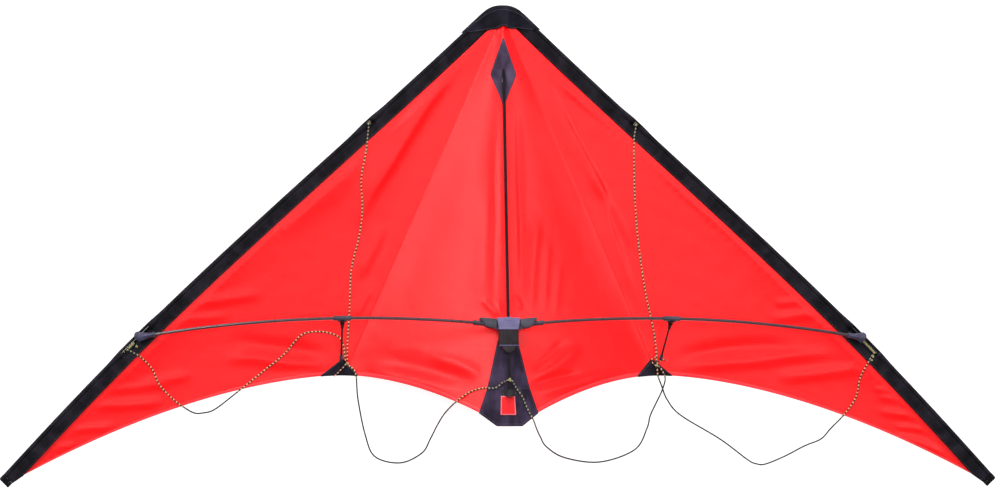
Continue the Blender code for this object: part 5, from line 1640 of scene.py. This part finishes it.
def nose_patch():
    """Upper and lower cloth between the rounded rim and the nearly straight mouth."""
    shoulder = [(8, 388.4), (16, 386.6), (23.5, 383.2), (30, 378.6)]
    corners = {name: edge_plan(NOSE_CORNER_V[name], NOSE_OUT, side) for name, side in SIDES.items()}
    bends = {name: edge_plan(NOSE_BEND_V, NOSE_OUT, side) for name, side in SIDES.items()}
    rim = [corners["left"], bends["left"], *[(-x, y) for x, y in shoulder[::-1]], (0, 388.7), *shoulder,
           bends["right"], corners["right"]]
    mouth = [corners["left"], (-48, 345.5), (-28.5, 348), (-10, 350.8), (-3.2, 354.5), (4.6, 355.5),
             (8.6, 351.8), (27.2, 350.8), (45, 349.6), corners["right"]]
    rim, mouth = (even_line([np.array((x, y, 0)) for x, y in line], NOSE_COLUMNS + 1)
                  for line in (rim, mouth))

    def top_height(x, y):
        """Height of the upper cloth in mm over the rods, the spine and the sail inside."""
        v, out = edge_place(x * MM, y * MM)
        rod = 1.0 * np.exp(-((out / MM - 19.6) / 5) ** 2) + edge_z(v) / MM
        middle = 4.2 * ease((382 - y) / 30) * np.exp(-(np.abs(x - 2) / 15) ** 3)
        rib = 1.1 * np.exp(-((x - 2.5) / 8.5) ** 6) * ease((389 - y) / 9)
        groove = -0.9 * np.exp(-((x - 14) / 2) ** 2) * ease((386 - y) / 10)
        folds = 0.5 * np.sin(x / 6.1 + y / 11) * np.sin(y / 5.2 - x / 17)
        ridge = 0.9 * np.exp(-((y - 359 + 0.35 * x) / 2.2) ** 2) * np.exp(-((x - 43) / 11) ** 2)
        return 3.9 + rod + middle + rib + groove + folds * 0.6 + ridge

    def place(across, along):
        k = nearest(across, NOSE_COLUMNS + 1)
        reach = np.abs(along * 2 - 1) ** 1.7
        p = rim[k] + (mouth[k] - rim[k]) * reach[:, None]
        x, y = p[:, 0], p[:, 1]
        far = np.linalg.norm(p - rim[k], axis=1)
        round_share = np.sqrt(1 - (1 - np.clip(far / 5.5, 0, 1)) ** 2)
        z_top = NOSE_MIDDLE_Z + (top_height(x, y) - NOSE_MIDDLE_Z) * round_share
        z_low = NOSE_MIDDLE_Z - (NOSE_MIDDLE_Z - 0.55) * round_share
        corner_share = np.clip(np.linalg.norm(rim[k] - mouth[k], axis=1) / 8, 0, 1)
        z = np.where(along < 0.5, z_top, z_low)
        z = NOSE_MIDDLE_Z + (z - NOSE_MIDDLE_Z) * np.maximum(corner_share, 0.25)
        return np.column_stack([x, y, z]) * MM

    bm = mapped_grid(NOSE_COLUMNS, 32, place)
    bmesh.ops.remove_doubles(bm, verts=bm.verts, dist=2e-5)
    bmesh.ops.recalc_face_normals(bm, faces=bm.faces)
    obj = add_piece("nose_cloth", bm, BLACK_CORDURA, "frame", ["nose_patch"], SOFT_ANGLE)
    thicken(obj, 0.9 * MM)
    folds_away(obj)

    k = np.linspace(4, 116, 90).astype(int)
    k = k[(k > 8) & (k < 112)]
    for where, share in (("mouth", 0.94), ("rim", 0.2)):
        x, y, _ = (rim[k] + (mouth[k] - rim[k]) * share).T
        row = np.column_stack([x, y, top_height(x, y) + 0.55]) * MM
        sewn = stitches("nose_stitches_" + where, row, GREY_THREAD, "frame")
        folds_away(sewn)


# Finishes of the pieces that keep the part's own shapes

def dress(names, skin):
    for name in names:
        for slot in frame["nodes"][name].material_slots:
            slot.material = skin


def dress_frame():
    for name in SIDES:
        dress(["edge_rod_" + name], ROD_GLASS)
        # the spreaders' finish carries a painted highlight
        dress(["spreader_rod_" + name], HIGHLIT_SPREADER_GLASS)
        dress(["standoff_rod_" + name], THIN_GLASS)
    dress(["spine_rod"], ROD_GLASS)


def floor():
    bm = bmesh.new()
    bmesh.ops.create_grid(bm, x_segments=8, y_segments=8, size=9)
    mesh = bpy.data.meshes.new("studio_floor")
    bm.to_mesh(mesh)
    bm.free()
    mesh.materials.append(PAPER)
    obj = bpy.data.objects.new("studio_floor", mesh)
    obj.location.z = -0.2 * MM
    bpy.context.scene.collection.objects.link(obj)


camera()
bridle()
studio()
floor()
sail()
hub()
hub_grip()
end_cap()
for side_name, side in SIDES.items():
    hub_arm(side_name, side)
    saddle(side_name, side)
    spreader_end(side_name, side)
    tee(side_name, side)
    foot_cap(side_name, side)
    edge_sleeve(side_name, side)
    tip_cap(side_name, side)
    standoff_patch(side_name, side)
nose_patch()
diamond_patch()
tail_patch()
tail_pocket()
tail_tag()
dress_frame()
